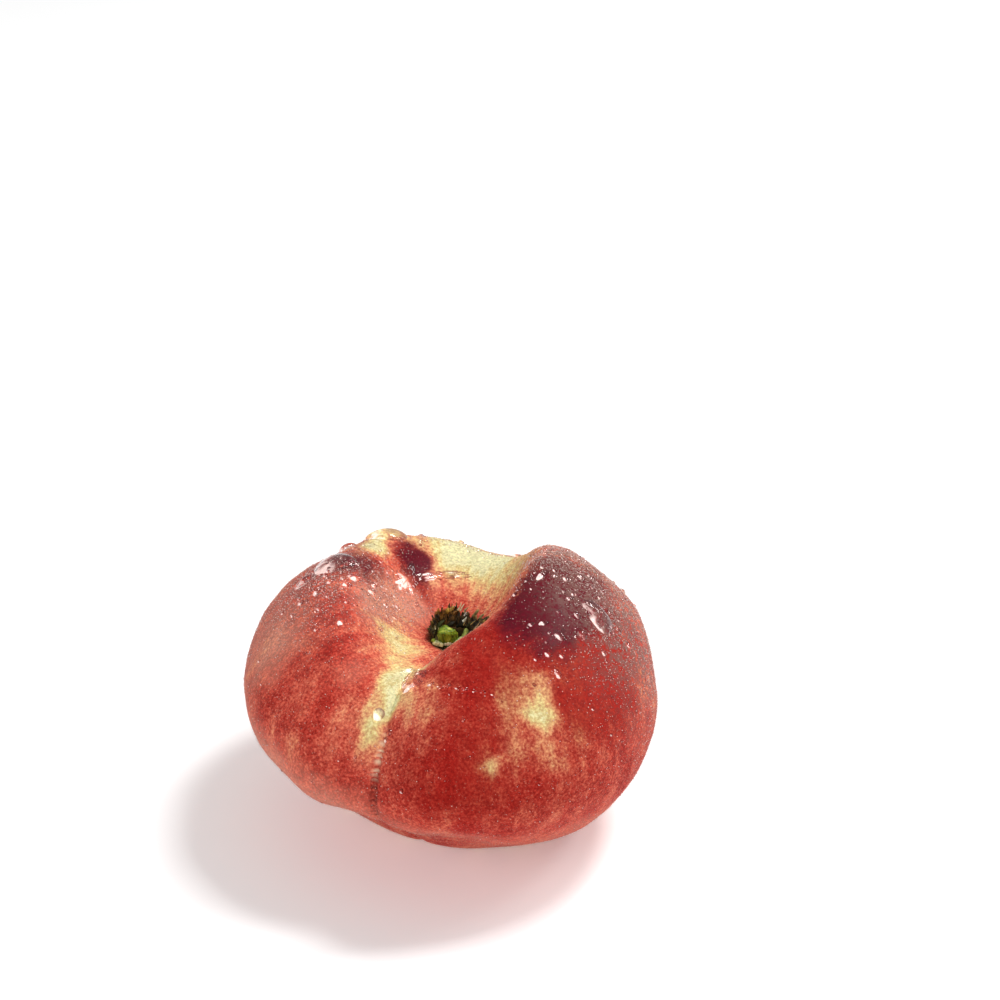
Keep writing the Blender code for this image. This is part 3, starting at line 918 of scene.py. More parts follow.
@dataclass
class Water:
    """Drops on the skin: the ones with a place of their own, and a sprinkle of small ones on the shoulders."""
    skin: Skin
    placed: tuple[Drop, ...] = (
        # The three long ones
        Drop(83, 0.393, 3.0, 1.55, 1.0, 4), Drop(-90, 0.347, 4.0, 2.5, 0.95, -12),
        Drop(-127, 0.347, 3.2, 2.0, 1.05, 62),
        # Small lobe
        Drop(-112, 0.388, 1.3, 1.0, 0.7, 60), Drop(-83, 0.395, 2.0, 0.8, 0.7, 10),
        Drop(-77, 0.290, 0.95, 0.6, 0.4, 20), Drop(-69.5, 0.309, 0.75, 0.5, 0.35, 0),
        Drop(-72.5, 0.341, 0.65, 0.45, 0.3, 40), Drop(-75, 0.254, 0.65, 0.55, 0.4, 10),
        Drop(-82, 0.250, 0.5, 0.45, 0.3, 0), Drop(-68.5, 0.364, 0.7, 0.42, 0.3, 50),
        Drop(-56.5, 0.362, 0.42, 0.40, 0.3, 0), Drop(-67, 0.391, 0.55, 0.42, 0.3, 0),
        Drop(-43, 0.335, 0.65, 0.5, 0.35, 0), Drop(-43, 0.239, 0.42, 0.38, 0.3, 0),
        Drop(-113, 0.170, 0.42, 0.36, 0.3, 0), Drop(-54, 0.295, 0.35, 0.3, 0.2, 0),
        # Beside the suture
        Drop(-2.5, 0.4263, 0.85, 0.8, 0.6, 0), Drop(3, 0.4475, 0.5, 0.42, 0.35, 0),
        Drop(2, 0.459, 0.4, 0.3, 0.25, 0),
        # Large lobe
        Drop(63, 0.381, 0.95, 0.62, 0.45, 20), Drop(71.5, 0.394, 0.85, 0.65, 0.45, 0),
        Drop(75, 0.3775, 0.6, 0.42, 0.3, 0), Drop(61, 0.361, 0.75, 0.32, 0.22, 70),
        Drop(56.5, 0.3525, 0.4, 0.24, 0.18, 70), Drop(78.5, 0.361, 0.9, 0.35, 0.22, 80),
        Drop(59.5, 0.399, 0.38, 0.34, 0.26, 0), Drop(55.5, 0.391, 0.5, 0.4, 0.25, 70),
        Drop(55.5, 0.4125, 0.62, 0.52, 0.35, 0), Drop(82, 0.321, 1.2, 0.45, 0.25, 80),
        Drop(87, 0.3475, 0.7, 0.5, 0.3, 60), Drop(94.5, 0.360, 0.55, 0.45, 0.3, 0),
        Drop(97, 0.385, 0.6, 0.45, 0.35, 0), Drop(88, 0.419, 0.5, 0.36, 0.3, 20),
        Drop(88, 0.436, 0.42, 0.34, 0.3, 0), Drop(75.5, 0.421, 0.45, 0.36, 0.28, 0),
        Drop(73.5, 0.445, 0.32, 0.28, 0.22, 0), Drop(86, 0.379, 0.4, 0.34, 0.25, 0),
        # Far side
        Drop(150, 0.40, 0.9, 0.7, 0.5, 30), Drop(-160, 0.43, 0.7, 0.6, 0.45, 0), Drop(128, 0.44, 0.6, 0.5, 0.4, 0),
        Drop(175, 0.38, 1.3, 0.7, 0.5, 75), Drop(-145, 0.39, 0.6, 0.5, 0.35, 0),
    )
    fields: tuple[Patch, ...] = (
        Patch(-84, 0.35, 24, 0.06, 1.0), Patch(86, 0.37, 26, 0.06, 1.0), Patch(-90, 0.20, 30, 0.06, 0.9),
        Patch(-165, 0.36, 25, 0.05, 0.6), Patch(130, 0.36, 25, 0.06, 0.6), Patch(20, 0.5, 90, 0.12, 0.06),
        Patch(180, 0.5, 90, 0.12, 0.06),
    )
    sprinkle: int = 2200
    trials: int = 60000
    sheets: tuple[Drop, ...] = (
        # Flat films of water that mirror the light, in the hollow and in the groove
        Drop(-121, 0.223, 2.0, 2.4, 0.13, 20), Drop(-149, 0.226, 0.8, 2.8, 0.12, 5),
        Drop(-163, 0.230, 0.5, 1.6, 0.08, -5), Drop(3, 0.335, 2.0, 1.2, 0.50, 0),
        Drop(6.5, 0.366, 1.5, 1.6, 0.50, 30), Drop(-1.5, 0.29, 1.8, 0.7, 0.40, -20),
        Drop(9, 0.349, 1.1, 0.7, 0.40, 60), Drop(8.5, 0.372, 0.5, 0.9, 0.35, 20),
        Drop(14.5, 0.379, 0.20, 0.5, 0.16, 10), Drop(17.5, 0.385, 0.13, 0.28, 0.12, 0),
        Drop(20, 0.387, 0.26, 0.75, 0.22, 5), Drop(23.7, 0.392, 0.13, 0.34, 0.14, 0),
        Drop(26.4, 0.395, 0.24, 0.55, 0.20, -8), Drop(29, 0.400, 0.11, 0.24, 0.11, 0),
        Drop(31.5, 0.402, 0.18, 0.50, 0.17, 0), Drop(34.5, 0.408, 0.12, 0.26, 0.12, 0),
    )
    from_light: tuple = (-0.60, -0.55, -0.58)
    foot_rings: tuple = (0.45, 0.86, 1.0)
    film: float = 0.03 * MM
    film_share: float = 0.15
    dip: float = 2.5
    # Darkening of wet skin, painted shade at a drop's edge, and the strength of painted caustic light
    dark: float = 0.62
    painted_rim_shade: float = 0.58
    lit: float = 1.8
    swell: float = 1.15

    def shells(self, drops: np.ndarray, columns: int, rings: int, seed: int, ragged: float = 0.0) -> Lenses:
        """Closed lenses on the skin, one for each row of drops.

        Over each foot oval the top rises by height times (1 - share of the way out squared) to the power 0.6; the
        foot lies just over the skin and its edge dips into it.

        Args:
            drops: rows of azimuth, along, half length, half width, height, turn; radians and metres.
            columns: points round a drop.
            rings: rings from its edge to its top.
            seed: start of the random draws of its outline.
            ragged: how much shorter waves tear the outline, as a share of the reach.

        Returns:
            The lenses.
        """
        around, along, half_long, half_wide, height, turn = drops.T
        count = len(drops)
        _, normal, down, across = self.skin.frames(along, around)
        first = down / np.linalg.norm(down, axis=1, keepdims=True)
        second = np.cross(normal, first)
        angle = np.linspace(0, 2 * math.pi, columns, endpoint=False)
        out = np.concatenate([self.foot_rings, np.linspace(1, 0, rings + 1)[1:-1] ** 0.8])
        reach = out[None, :, None] * drop_outlines(angle, count, seed, ragged)[:, None, :]
        u, v = reach * np.cos(angle) * half_long[:, None, None], reach * np.sin(angle) * half_wide[:, None, None]
        cos, sin = np.cos(turn)[:, None, None], np.sin(turn)[:, None, None]
        u, v = u * cos - v * sin, u * sin + v * cos
        # The poles are the middles of the foot and of the top
        poles = np.zeros((count, 1))
        u, v = (np.concatenate([poles, part.reshape(count, -1), poles], axis=1) for part in (u, v))
        level = np.minimum(self.film, self.film_share * height)[:, None]
        rise = drop_profile(0.0, np.where(np.arange(len(out)) > 2, (1 - out ** 2) ** 0.6, 0.0), 1.0, columns)
        lie = drop_profile(1.0, [1.0, 1.0, -self.dip] + [0.0] * (rings - 1), 0.0, columns)
        offset = first[:, None] * u[..., None] + second[:, None] * v[..., None]
        back = np.linalg.pinv(np.stack([down, across], axis=2))
        places = np.einsum("nij,nkj->nki", back, offset)
        spot_along, spot_around = along[:, None] + places[..., 0], around[:, None] + places[..., 1]
        points = self.skin.frames(spot_along, spot_around)[0]
        rise = rise * (1 + ragged * height[:, None] / (0.5 * MM) * ripples(points, 1.6 * MM, seed))
        points = points + normal[:, None] * (rise * height[:, None] + lie * level)[..., None]
        # Wet skin is darker under a drop; painted shade darkens it more towards the edge, and painted caustic light
        # brightens it on the side away from the light
        edge = drop_profile(0.0, [*self.foot_rings] + [1.0] * (rings - 1), 0.0, columns)
        far = (offset @ np.array(self.from_light)) / half_wide[:, None]
        lit = smooth_step(-0.15, 0.60, far) * (1 + 0.5 * ripples(points, 1.2 * MM, seed + 1))
        wet_painted_shade_and_light = self.dark + self.painted_rim_shade * smooth_step(0.45, 0.95, edge) - self.lit * lit
        size = points.shape[1]
        sides = ring_faces(rings + 2, columns, 1)
        below, above = cap_faces(columns, 1, 0, False), cap_faces(columns, 1 + (rings + 1) * columns, size - 1, True)
        polygons = [copies(part, count, size) for part in (sides[2 * columns:], above, sides[:2 * columns], below)]
        return Lenses(points.reshape(-1, 3), polygons, spot_along.ravel(), spot_around.ravel(), wet_painted_shade_and_light.ravel())

    def rows(self, drops: tuple[Drop, ...]) -> np.ndarray:
        """The placed drops as rows of numbers in radians and metres."""
        swell = self.swell * MM
        return np.array([[math.radians(d.azimuth), d.along, d.length * swell, d.width * swell, d.height * swell,
                          math.radians(d.turn)] for d in drops])

    def chance_rows(self) -> np.ndarray:
        """Small drops, drawn where the fields say, mostly very small.

        Returns:
            Rows of azimuth, along, half length, half width, height and turn.
        """
        rng = np.random.default_rng(7)
        around, along = rng.uniform(-math.pi, math.pi, self.trials), rng.uniform(0.18, 0.62, self.trials)
        chance = np.clip(sum(patch.cover(along, around) for patch in self.fields), 0, 1)
        keep = rng.uniform(0, 1, len(around)) < chance
        around, along = around[keep][:self.sprinkle], along[keep][:self.sprinkle]
        half = (0.08 + 0.30 * rng.power(0.26, len(around)) ** 1.5) * MM
        long = rng.uniform(1.0, 1.4, len(around))
        return np.stack([around, along, half * long, half, half * rng.uniform(0.55, 0.9, len(around)),
                         rng.uniform(0, math.pi, len(around))], axis=1)

    def wet_and_painted_shade(self, piece: bpy.types.Object, lenses: Lenses) -> None:
        """Gives the drops' feet the skin's own layers, so that they show as skin under water, with wet skin's
        darkening, painted shade at the edge and painted caustic light.

        Args:
            piece: the drops' mesh.
            lenses: what it was made of.
        """
        for layer in Layer:
            give_values(piece, layer.value, layer_cover(layer, lenses.along, lenses.around))
        give_values(piece, "grain", grain_places(lenses.along, lenses.around))
        give_values(piece, "wet_painted_shade_and_light", lenses.wet_painted_shade_and_light)
        counts = [len(part) for part in lenses.polygons]
        which = np.repeat([0, 0, 1, 1], counts)
        piece.data.polygons.foreach_set("material_index", which.astype(np.int32))

    def build(self, finish: bpy.types.Material) -> list[bpy.types.Object]:
        """Makes the placed drops, the films and the sprinkle, in clear water over wet skin with painted shade and
        light.

        Args:
            finish: material of the skin.

        Returns:
            The three pieces.
        """
        material, net, shader = new_material("clear_water", {
            "Base Color": (1, 1, 1, 1), "Transmission Weight": 1.0, "IOR": 1.333, "Roughness": 0.0})
        # Light that reaches the skin goes straight through the water
        lit = net.add("LightPath").outputs["Is Shadow Ray"]
        net.feed(shader.inputs["Alpha"], net.math("SUBTRACT", 1.0, lit))
        pieces = []
        for name, rows, columns, rings, seed, ragged in (
                ("water_drops", self.rows(self.placed), 40, 14, 21, 0.0),
                ("water_sheets", self.rows(self.sheets), 90, 8, 23, 0.22),
                ("water_sprinkle", self.chance_rows(), 8, 3, 22, 0.0)):
            lenses = self.shells(rows, columns, rings, seed, ragged)
            piece = make_mesh(name, lenses.points, lenses.polygons)
            self.wet_and_painted_shade(piece, lenses)
            piece.data.materials.append(material)
            piece.data.materials.append(finish)
            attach(piece, "root")
            pieces.append(piece)
        return pieces


@dataclass
class Mist:
    """Beads of water too small to run, caught on the tips of the down: tiny eight-sided grains, opaque and pale as
    painted glints.
    """
    skin: Skin
    count: int = 12000
    smallest: float = 0.035 * MM
    largest: float = 0.105 * MM
    lifted: float = 0.06 * MM
    trials_each: int = 14

    def build(self, fields: tuple[Patch, ...]) -> bpy.types.Object:
        """Draws places where the fields and the painted sheen are strong and stands an octahedron at each.

        Args:
            fields: where the drops are.

        Returns:
            The piece.
        """
        rng = np.random.default_rng(41)
        trials = self.count * self.trials_each
        along, around = rng.uniform(0.14, 0.66, trials), rng.uniform(-math.pi, math.pi, trials)
        chance = sum(patch.cover(along, around) for patch in fields) * 0.5
        chance = chance + layer_cover(Layer.BLOOM, along, around) * 0.5
        bare = layer_cover(Layer.CREAM, along, around) + layer_cover(Layer.WET, along, around)
        keep = rng.uniform(0, 1, trials) < np.clip(chance, 0.03, 1) * np.clip(1 - bare, 0.05, 1)
        along, around = along[keep][:self.count], around[keep][:self.count]
        foot, normal, _, _ = self.skin.frames(along, around)
        size = self.smallest + (self.largest - self.smallest) * rng.uniform(0, 1, (len(foot), 1)) ** 2
        middle = foot + normal * self.lifted * rng.uniform(0.5, 1.6, (len(foot), 1))
        spokes = np.array([[1, 0, 0], [-1, 0, 0], [0, 1, 0], [0, -1, 0], [0, 0, 1], [0, 0, -1]], dtype=float)
        points = (middle[:, None] + size[:, None] * spokes).reshape(-1, 3)
        pattern = np.array([[0, 2, 4], [2, 1, 4], [1, 3, 4], [3, 0, 4], [2, 0, 5], [1, 2, 5], [3, 1, 5], [0, 3, 5]])
        piece = make_mesh("water_mist", points, [copies(pattern, len(foot), 6)])
        # Opaque pale colour: painted glints of the beads
        material, _, _ = new_material("water_bead_painted_glint", {"Base Color": (0.80, 0.62, 0.56, 1), "Roughness": 0.2})
        piece.data.materials.append(material)
        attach(piece, "root")
        return piece


# Stalk

def fibre_group() -> bpy.types.NodeTree:
    """Shader nodes shared by the stalk's materials: noise drawn out up the stalk, with finer crumbs in it.

    Returns:
        The group, with Scale in, and Fibre out from 0 to 1.
    """
    group = bpy.data.node_groups.new("stalk_fibre", "ShaderNodeTree")
    scale = group.interface.new_socket("Scale", in_out="INPUT", socket_type="NodeSocketFloat")
    scale.default_value = 2200
    group.interface.new_socket("Fibre", in_out="OUTPUT", socket_type="NodeSocketFloat")
    net = Net(group)
    wanted = group.nodes.new("NodeGroupInput").outputs["Scale"]
    where = net.add("TexCoord").outputs["Object"]
    stretch = net.add("Mapping", {"Vector": where, "Scale": (1.0, 1.0, 0.3)}).outputs["Vector"]
    drawn = net.noise(stretch, wanted, 4, 0.62)
    crumbs = net.noise(where, net.math("MULTIPLY", wanted, 0.6), 3, 0.6)
    both = net.math("MULTIPLY_ADD", net.math("SUBTRACT", crumbs, 0.5), 0.55, drawn, clamp=True)
    net.feed(group.nodes.new("NodeGroupOutput").inputs["Fibre"], both)
    return group


@dataclass(frozen=True)
class StalkFinish:
    """One of the stalk's finishes: a ramp over the shared fibre, tinted by the tone stored on the mesh, painted shade
    and light on the stub.
    """
    name: str
    stops: tuple
    scale: float
    smooth: float
    rough: float
    relief: float
    gloss: float = 0.35

    def build(self, group: bpy.types.NodeTree) -> bpy.types.Material:
        """Makes the material.

        Args:
            group: the shared fibre nodes.

        Returns:
            The material.
        """
        material, net, shader = new_material(self.name, {"Specular IOR Level": self.gloss})
        fibre = net.add("Group", {}, node_tree=group)
        fibre.inputs["Scale"].default_value = self.scale
        fibre = fibre.outputs["Fibre"]
        colour = net.ramp(fibre, self.stops)
        colour = net.mix(1.0, colour, net.add("Attribute", attribute_name="tone").outputs["Vector"], "MULTIPLY")
        net.feed(shader.inputs["Base Color"], colour)
        spread = {"Value": fibre, "From Min": 0.3, "From Max": 0.7, "To Min": self.smooth, "To Max": self.rough}
        net.feed(shader.inputs["Roughness"], net.add("MapRange", spread).outputs["Result"])
        bump = net.add("Bump", {"Height": fibre, "Distance": self.relief, "Strength": 0.9})
        net.feed(shader.inputs["Normal"], bump.outputs["Normal"])
        return material


@dataclass
class Stub:
    """The stalk's green end, a leaning lobed peg with a torn, knobbly top."""
    foot: tuple = (-0.4, -0.6, 27.73)
    radius: float = 1.38
    height: float = 3.35
    lean: tuple = (-0.35, -0.75)
    uneven: float = 0.10
    fullness: float = 0.50
    flare: float = 0.10
    flat_ends: float = 0.7
    wrinkle: float = 0.035
    bulge: float = 0.03
    columns: int = 96
    rows: int = 64
    finish: StalkFinish = StalkFinish("stalk_green_flesh", (
        (0.30, (0.018, 0.034, 0.003)), (0.46, (0.085, 0.145, 0.006)), (0.60, (0.19, 0.27, 0.012)),
        (0.76, (0.44, 0.48, 0.09))), 1700, 0.25, 0.50, 0.14 * MM)

    def build(self, skin: Skin, group: bpy.types.NodeTree) -> bpy.types.Object:
        """A superellipse turned about the stalk, lobed round and wrinkled along.

        Args:
            skin: the skin that it stands in.
            group: the shared fibre nodes.

        Returns:
            The piece, which stands for the stub's solid.
        """
        around = np.linspace(-math.pi, math.pi, self.columns, endpoint=False)[None, :]
        along = np.linspace(0, 1, self.rows + 2)[1:-1, None]
        angle = np.pi * along
        radius = self.radius * np.sin(angle) ** self.fullness * (1 + self.flare * along)
        lobes = 1 + self.uneven * np.cos(3 * around + 0.8) + 0.6 * self.uneven * np.cos(5 * around + 2.0)
        wrinkles = self.wrinkle * np.sin(17 * around + 2.5 * np.sin(3 * angle))
        wrinkles = wrinkles + self.bulge * np.sin(11 * angle + 3 * around)
        radius = radius * (lobes + wrinkles)
        rise = (1 - np.sign(np.cos(angle)) * np.abs(np.cos(angle)) ** self.flat_ends) / 2
        rise = rise + 0.05 * smooth_step(0.6, 1.0, along) * np.sin(2 * around + 0.6)
        x = self.foot[0] + radius * np.sin(around) + self.lean[0] * rise
        y = self.foot[1] - radius * np.cos(around) + self.lean[1] * rise
        z = self.foot[2] + self.height * rise
        place = skin.stalk()
        foot = np.array(self.foot) + place
        top = foot + np.array([self.lean[0], self.lean[1], self.height])
        piece = closed_tube("stalk_stub", (np.stack([x, y, z], axis=-1) + place) * MM, foot * MM, top * MM)
        # Painted shade and light: darker low down and on the side that turns from the light
        lit = np.clip(0.35 + 0.9 * rise + 0.25 * np.sin(around + 0.6), 0.2, 1.15).ravel()
        lit = np.concatenate([[0.3], lit, [1.0]])
        give_values(piece, "tone", np.stack([lit, lit, lit], axis=-1))
        piece.data.materials.append(self.finish.build(group))
        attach(piece, "root")
        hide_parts("stem_stub")
        return piece


@dataclass
class Scales:
    """The dry scales round the back of the stub, one torn, crumbly collar."""
    start: float = math.radians(-48)
    end: float = math.radians(-262)
    foot_radius: float = 3.05
    foot_height: float = 29.2
    thick: float = 0.72
    tip_thick: float = 0.42
    low: float = 1.1
    sway: tuple = (0.22, 0.12)
    crumples: tuple = (0.13, 0.09, 0.06)
    lean: tuple = (0.22, 0.55)
    taper: float = 0.05
    stations: int = 420
    section: int = 48
    peaks: tuple = ((0.05, 0.05, 0.4), (0.20, 0.08, 0.8), (0.35, 0.12, 1.7), (0.52, 0.12, 2.1), (0.69, 0.09, 1.2),
                    (0.80, 0.06, 0.9), (0.91, 0.08, 1.8))
    tones: tuple = ((0.0, (0.55, 0.75, 0.35)), (0.20, (0.60, 0.62, 0.40)), (0.36, (2.0, 1.45, 0.80)),
                    (0.50, (1.5, 1.1, 0.8)), (0.62, (0.55, 0.5, 0.5)), (0.78, (0.75, 0.7, 0.7)),
                    (0.92, (1.0, 1.05, 0.75)), (1.0, (0.8, 0.85, 0.6)))
    finish: StalkFinish = StalkFinish("dry_scale_fibre", (
        (0.34, (0.010, 0.006, 0.003)), (0.50, (0.075, 0.045, 0.012)), (0.64, (0.24, 0.15, 0.04)),
        (0.78, (0.55, 0.44, 0.22))), 2300, 0.30, 0.80, 0.18 * MM)

    def height(self, share: np.ndarray) -> np.ndarray:
        """A low rim with rounded peaks, torn into small teeth."""
        total = np.full_like(share, self.low)
        for middle, half, tall in self.peaks:
            total = total + tall * np.exp(-np.abs((share - middle) / (0.75 * half)) ** 2.4)
        teeth = 0.09 * np.sin(83 * share) + 0.07 * np.sin(151 * share + 1) + 0.06 * np.sin(263 * share + 2)
        return total * (1 + teeth)

    def build(self, skin: Skin, group: bpy.types.NodeTree) -> bpy.types.Object:
        """A thick blade carried round the stub, crumpled across its faces.

        Args:
            skin: the skin that it stands on.
            group: the shared fibre nodes.

        Returns:
            The piece, which stands for the scales' solid.
        """
        share = np.linspace(0, 1, self.stations)[:, None]
        turn = self.start + (self.end - self.start) * share
        ripple = self.sway[0] * np.sin(9 * turn) + self.sway[1] * np.sin(17 * turn + 1.0)
        height = self.height(share)
        outward = self.lean[0] + self.lean[1] * smooth_step(0.70, 0.92, share)
        ends = np.sqrt(np.clip(np.minimum(share, 1 - share) / self.taper, 0.12, 1))
        way = np.linspace(0, 2 * math.pi, self.section, endpoint=False)[None, :]
        # Round the blade's section: level runs up the outer face and down the inner one
        level = (1 - np.cos(way)) / 2
        face = np.sign(np.sin(way)) * np.abs(np.sin(way)) ** 0.4
        thick = (self.thick + (self.tip_thick - self.thick) * level) * ends / 2
        coarse, middling, fine = self.crumples
        crumple = coarse * np.sin(31 * turn + 7 * level) * level + middling * np.sin(57 * turn - 15 * level)
        crumple = crumple + fine * np.sin(97 * turn + 23 * level)
        radius = self.foot_radius + (ripple + crumple) * level + outward * height * level + face * thick
        rise = self.foot_height + height * level + 0.10 * np.sin(71 * turn + 11 * level) * level
        place = skin.stalk()
        grid = np.stack([radius * np.sin(turn), -radius * np.cos(turn), rise], axis=-1) + place
        piece = closed_tube("stalk_scales", grid * MM, grid[0].mean(axis=0) * MM, grid[-1].mean(axis=0) * MM)
        stops = np.array([stop for stop, _ in self.tones])
        parts = [np.interp(share, stops, [tone[k] for _, tone in self.tones]) for k in range(3)]
        # Pale torn tips, darker feet
        tone = np.stack(parts, axis=-1) * (0.45 + 0.75 * level ** 2)[..., None] * np.ones((1, self.section, 1))
        tone = tone.reshape(-1, 3)
        give_values(piece, "tone", np.concatenate([tone[:1], tone, tone[-1:]]))
        piece.data.materials.append(self.finish.build(group))
        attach(piece, "root")
        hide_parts("stem_scales")
        return piece


@dataclass(frozen=True)
class Strand:
    """A bit torn off the stalk: its two ends from the stalk's axis and its radius in millimetres, and its tone.

    Blunt 0 narrows it to a point, blunt 1 rounds both its ends; bow bends it sideways by a share of its length.
    """
    foot: tuple
    tip: tuple
    radius: float
    tone: tuple
    blunt: float = 1.0
    bow: float = 0.1


@dataclass
class Bits:
    """Small torn bits about the stub: pale wet shreds, ochre crumbs, cream fibres and the collar's loose hairs."""
    placed: tuple[Strand, ...] = (
        # White-green wet shreds in front and to the right
        Strand((-2.1, -2.6, 28.9), (-0.7, -2.7, 28.95), 0.42, (0.75, 0.82, 0.45)),
        Strand((-0.9, -2.2, 28.8), (0.3, -1.9, 29.1), 0.36, (0.85, 0.90, 0.62)),
        Strand((-2.6, -2.0, 29.0), (-2.0, -2.7, 29.2), 0.30, (0.30, 0.40, 0.06)),
        Strand((0.9, -1.5, 28.9), (1.4, -0.4, 29.4), 0.32, (0.45, 0.55, 0.20)),
        Strand((1.5, 0.2, 29.2), (1.5, 1.5, 29.9), 0.36, (0.30, 0.36, 0.08)),
        Strand((0.3, 3.1, 30.3), (1.1, 3.3, 30.9), 0.30, (0.85, 0.86, 0.70)),
        # A near-white bit at the back: a painted glint of water
        Strand((0.3, 3.6, 31.0), (0.6, 3.7, 31.4), 0.22, (0.92, 0.92, 0.86)),
        # Near-black bits round the hole behind the stub: painted shade of the hole
        Strand((-2.9, 0.2, 29.4), (-2.2, 1.6, 30.6), 0.28, (0.045, 0.05, 0.015)),
        Strand((-1.9, 1.6, 29.7), (-0.8, 2.3, 30.3), 0.30, (0.020, 0.016, 0.008)),
        Strand((-0.4, 2.2, 29.6), (0.8, 2.4, 30.2), 0.28, (0.016, 0.014, 0.008)),
        Strand((1.2, 2.4, 29.8), (2.0, 2.6, 30.6), 0.26, (0.05, 0.05, 0.02)),
        # Ochre crumbs on the left-hand back
        Strand((-2.5, 2.6, 31.2), (-2.0, 2.9, 32.0), 0.34, (0.46, 0.27, 0.05)),
        Strand((-2.9, 2.1, 30.6), (-2.6, 2.5, 31.4), 0.30, (0.38, 0.21, 0.04)),
        Strand((-1.8, 3.0, 31.6), (-1.3, 3.2, 32.3), 0.28, (0.52, 0.33, 0.09)),
        Strand((-3.3, 1.2, 30.2), (-3.0, 1.8, 30.9), 0.30, (0.34, 0.22, 0.05)),
        Strand((-1.2, 2.9, 31.2), (-0.7, 3.0, 31.7), 0.24, (0.22, 0.10, 0.03)),
        # Cream fibres on top of the back, the right-hand scale and its tip
        Strand((-0.7, 3.3, 31.8), (-0.2, 3.6, 33.2), 0.16, (0.78, 0.66, 0.42), 0.2, 0.15),
        Strand((-0.2, 3.3, 31.8), (0.3, 3.7, 33.0), 0.14, (0.80, 0.70, 0.48), 0.2, -0.1),
        Strand((0.3, 3.6, 31.4), (0.9, 3.9, 32.4), 0.18, (0.55, 0.42, 0.24), 0.3, 0.1),
        Strand((1.6, 3.7, 30.8), (2.4, 4.2, 32.1), 0.30, (0.26, 0.22, 0.09), 0.6),
        Strand((2.9, 3.0, 30.7), (3.5, 3.5, 31.9), 0.26, (0.30, 0.26, 0.12), 0.5),
    )
    loose: int = 34
    past: float = 0.6
    columns: int = 14
    stations: int = 20
    finish: StalkFinish = StalkFinish("torn_stalk_bit", (
        (0.30, (0.45, 0.42, 0.40)), (0.50, (0.85, 0.84, 0.80)), (0.70, (1.25, 1.25, 1.2))),
        3200, 0.30, 0.75, 0.10 * MM, 0.12)

    def chance_strands(self) -> tuple[Strand, ...]:
        """Thin curved hairs that stand about the collar, leaning outwards, in straw, ochre and dark brown."""
        rng = np.random.default_rng(31)
        tones = ((0.10, 0.06, 0.02), (0.42, 0.28, 0.10), (0.62, 0.50, 0.28), (0.05, 0.03, 0.012))
        strands = []
        for turn, far, size in zip(np.radians(rng.uniform(-262, -48, self.loose)), rng.uniform(2.3, 3.5, self.loose),
                                   rng.uniform(0.6, 1.7, self.loose)):
            foot = np.array([far * math.sin(turn), -far * math.cos(turn), rng.uniform(29.4, 30.6)])
            tip = foot + size * np.array([0.5 * math.sin(turn) + rng.normal(0, 0.35),
                                          -0.5 * math.cos(turn) + rng.normal(0, 0.35), 0.9])
            tone = tones[rng.integers(4)]
            strands.append(Strand(tuple(foot), tuple(tip), rng.uniform(0.05, 0.11), tone, 0.1, rng.normal(0, 0.2)))
        return tuple(strands)

    def build(self, skin: Skin, group: bpy.types.NodeTree) -> bpy.types.Object:
        """Every strand is a closed tube about a bowed line.

        The radius follows (4t(1-t)) to the power 0.45 for a blunt bit and (1-t) to the power 0.7 for a pointed one, t
        being the share of the way, and is roughened by waves round and along.

        Args:
            skin: the skin, for the place of the stalk's axis.
            group: the shared fibre nodes.

        Returns:
            The piece.
        """
        strands = self.placed + self.chance_strands()
        rng = np.random.default_rng(32)
        count = len(strands)
        place = skin.stalk()
        foot, tip = (np.array([getattr(strand, end) for strand in strands]) + place for end in ("foot", "tip"))
        radius, blunt, bow = (np.array([getattr(strand, key) for strand in strands])[:, None]
                              for key in ("radius", "blunt", "bow"))
        way = tip - foot
        length = np.linalg.norm(way, axis=1, keepdims=True)
        side = np.cross(way, rng.normal(size=(count, 3)))
        side /= np.linalg.norm(side, axis=1, keepdims=True)
        other = np.cross(way / length, side)
        # A blunt bit reaches past its two ends, so that it is as long as it is thick at least
        t = np.linspace(0, 1, self.stations + 2)[None, 1:-1]
        reach = t * (1 + 2 * self.past * blunt * radius / length) - self.past * blunt * radius / length
        line = foot[:, None] + way[:, None] * reach[..., None]
        line = line + side[:, None] * (bow * length * np.sin(math.pi * t))[..., None]
        full = radius * (blunt * (4 * t * (1 - t)) ** 0.45 + (1 - blunt) * (1 - t) ** 0.7)
        turn = np.linspace(0, 2 * math.pi, self.columns, endpoint=False)[None, None]
        start = rng.uniform(0, 6, (3, count, 1, 1))
        rough = 1 + 0.16 * np.sin(3 * turn + 4 * t[..., None] + start[0]) + 0.12 * np.sin(9 * t[..., None] + start[1])
        rough = rough + 0.08 * np.sin(5 * turn - 13 * t[..., None] + start[2])
        spread = full[..., None] * rough
        points = line[:, :, None] + side[:, None, None] * (spread * np.cos(turn))[..., None]
        points = points + other[:, None, None] * (spread * np.sin(turn))[..., None]
        low = line[:, :1] - 0.25 * (line[:, 1:2] - line[:, :1])
        high = line[:, -1:] + 0.25 * (line[:, -1:] - line[:, -2:-1])
        points = np.concatenate([low, points.reshape(count, -1, 3), high], axis=1)
        size = points.shape[1]
        sides = ring_faces(self.stations, self.columns, 1)
        caps = np.concatenate([cap_faces(self.columns, 1, 0, False),
                               cap_faces(self.columns, 1 + (self.stations - 1) * self.columns, size - 1, True)])
        polygons = [copies(part, count, size) for part in (sides, caps)]
        piece = make_mesh("stalk_bits", points.reshape(-1, 3) * MM, polygons)
        give_values(piece, "tone", np.repeat(np.array([strand.tone for strand in strands]), size, axis=0))
        piece.data.materials.append(self.finish.build(group))
        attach(piece, "root")
        return piece


# Studio

@dataclass(frozen=True)
class Lamp:
    """A rectangular soft light that faces the fruit: place, width and height in metres, and watts."""
    name: str
    place: tuple
    size: tuple
    power: float


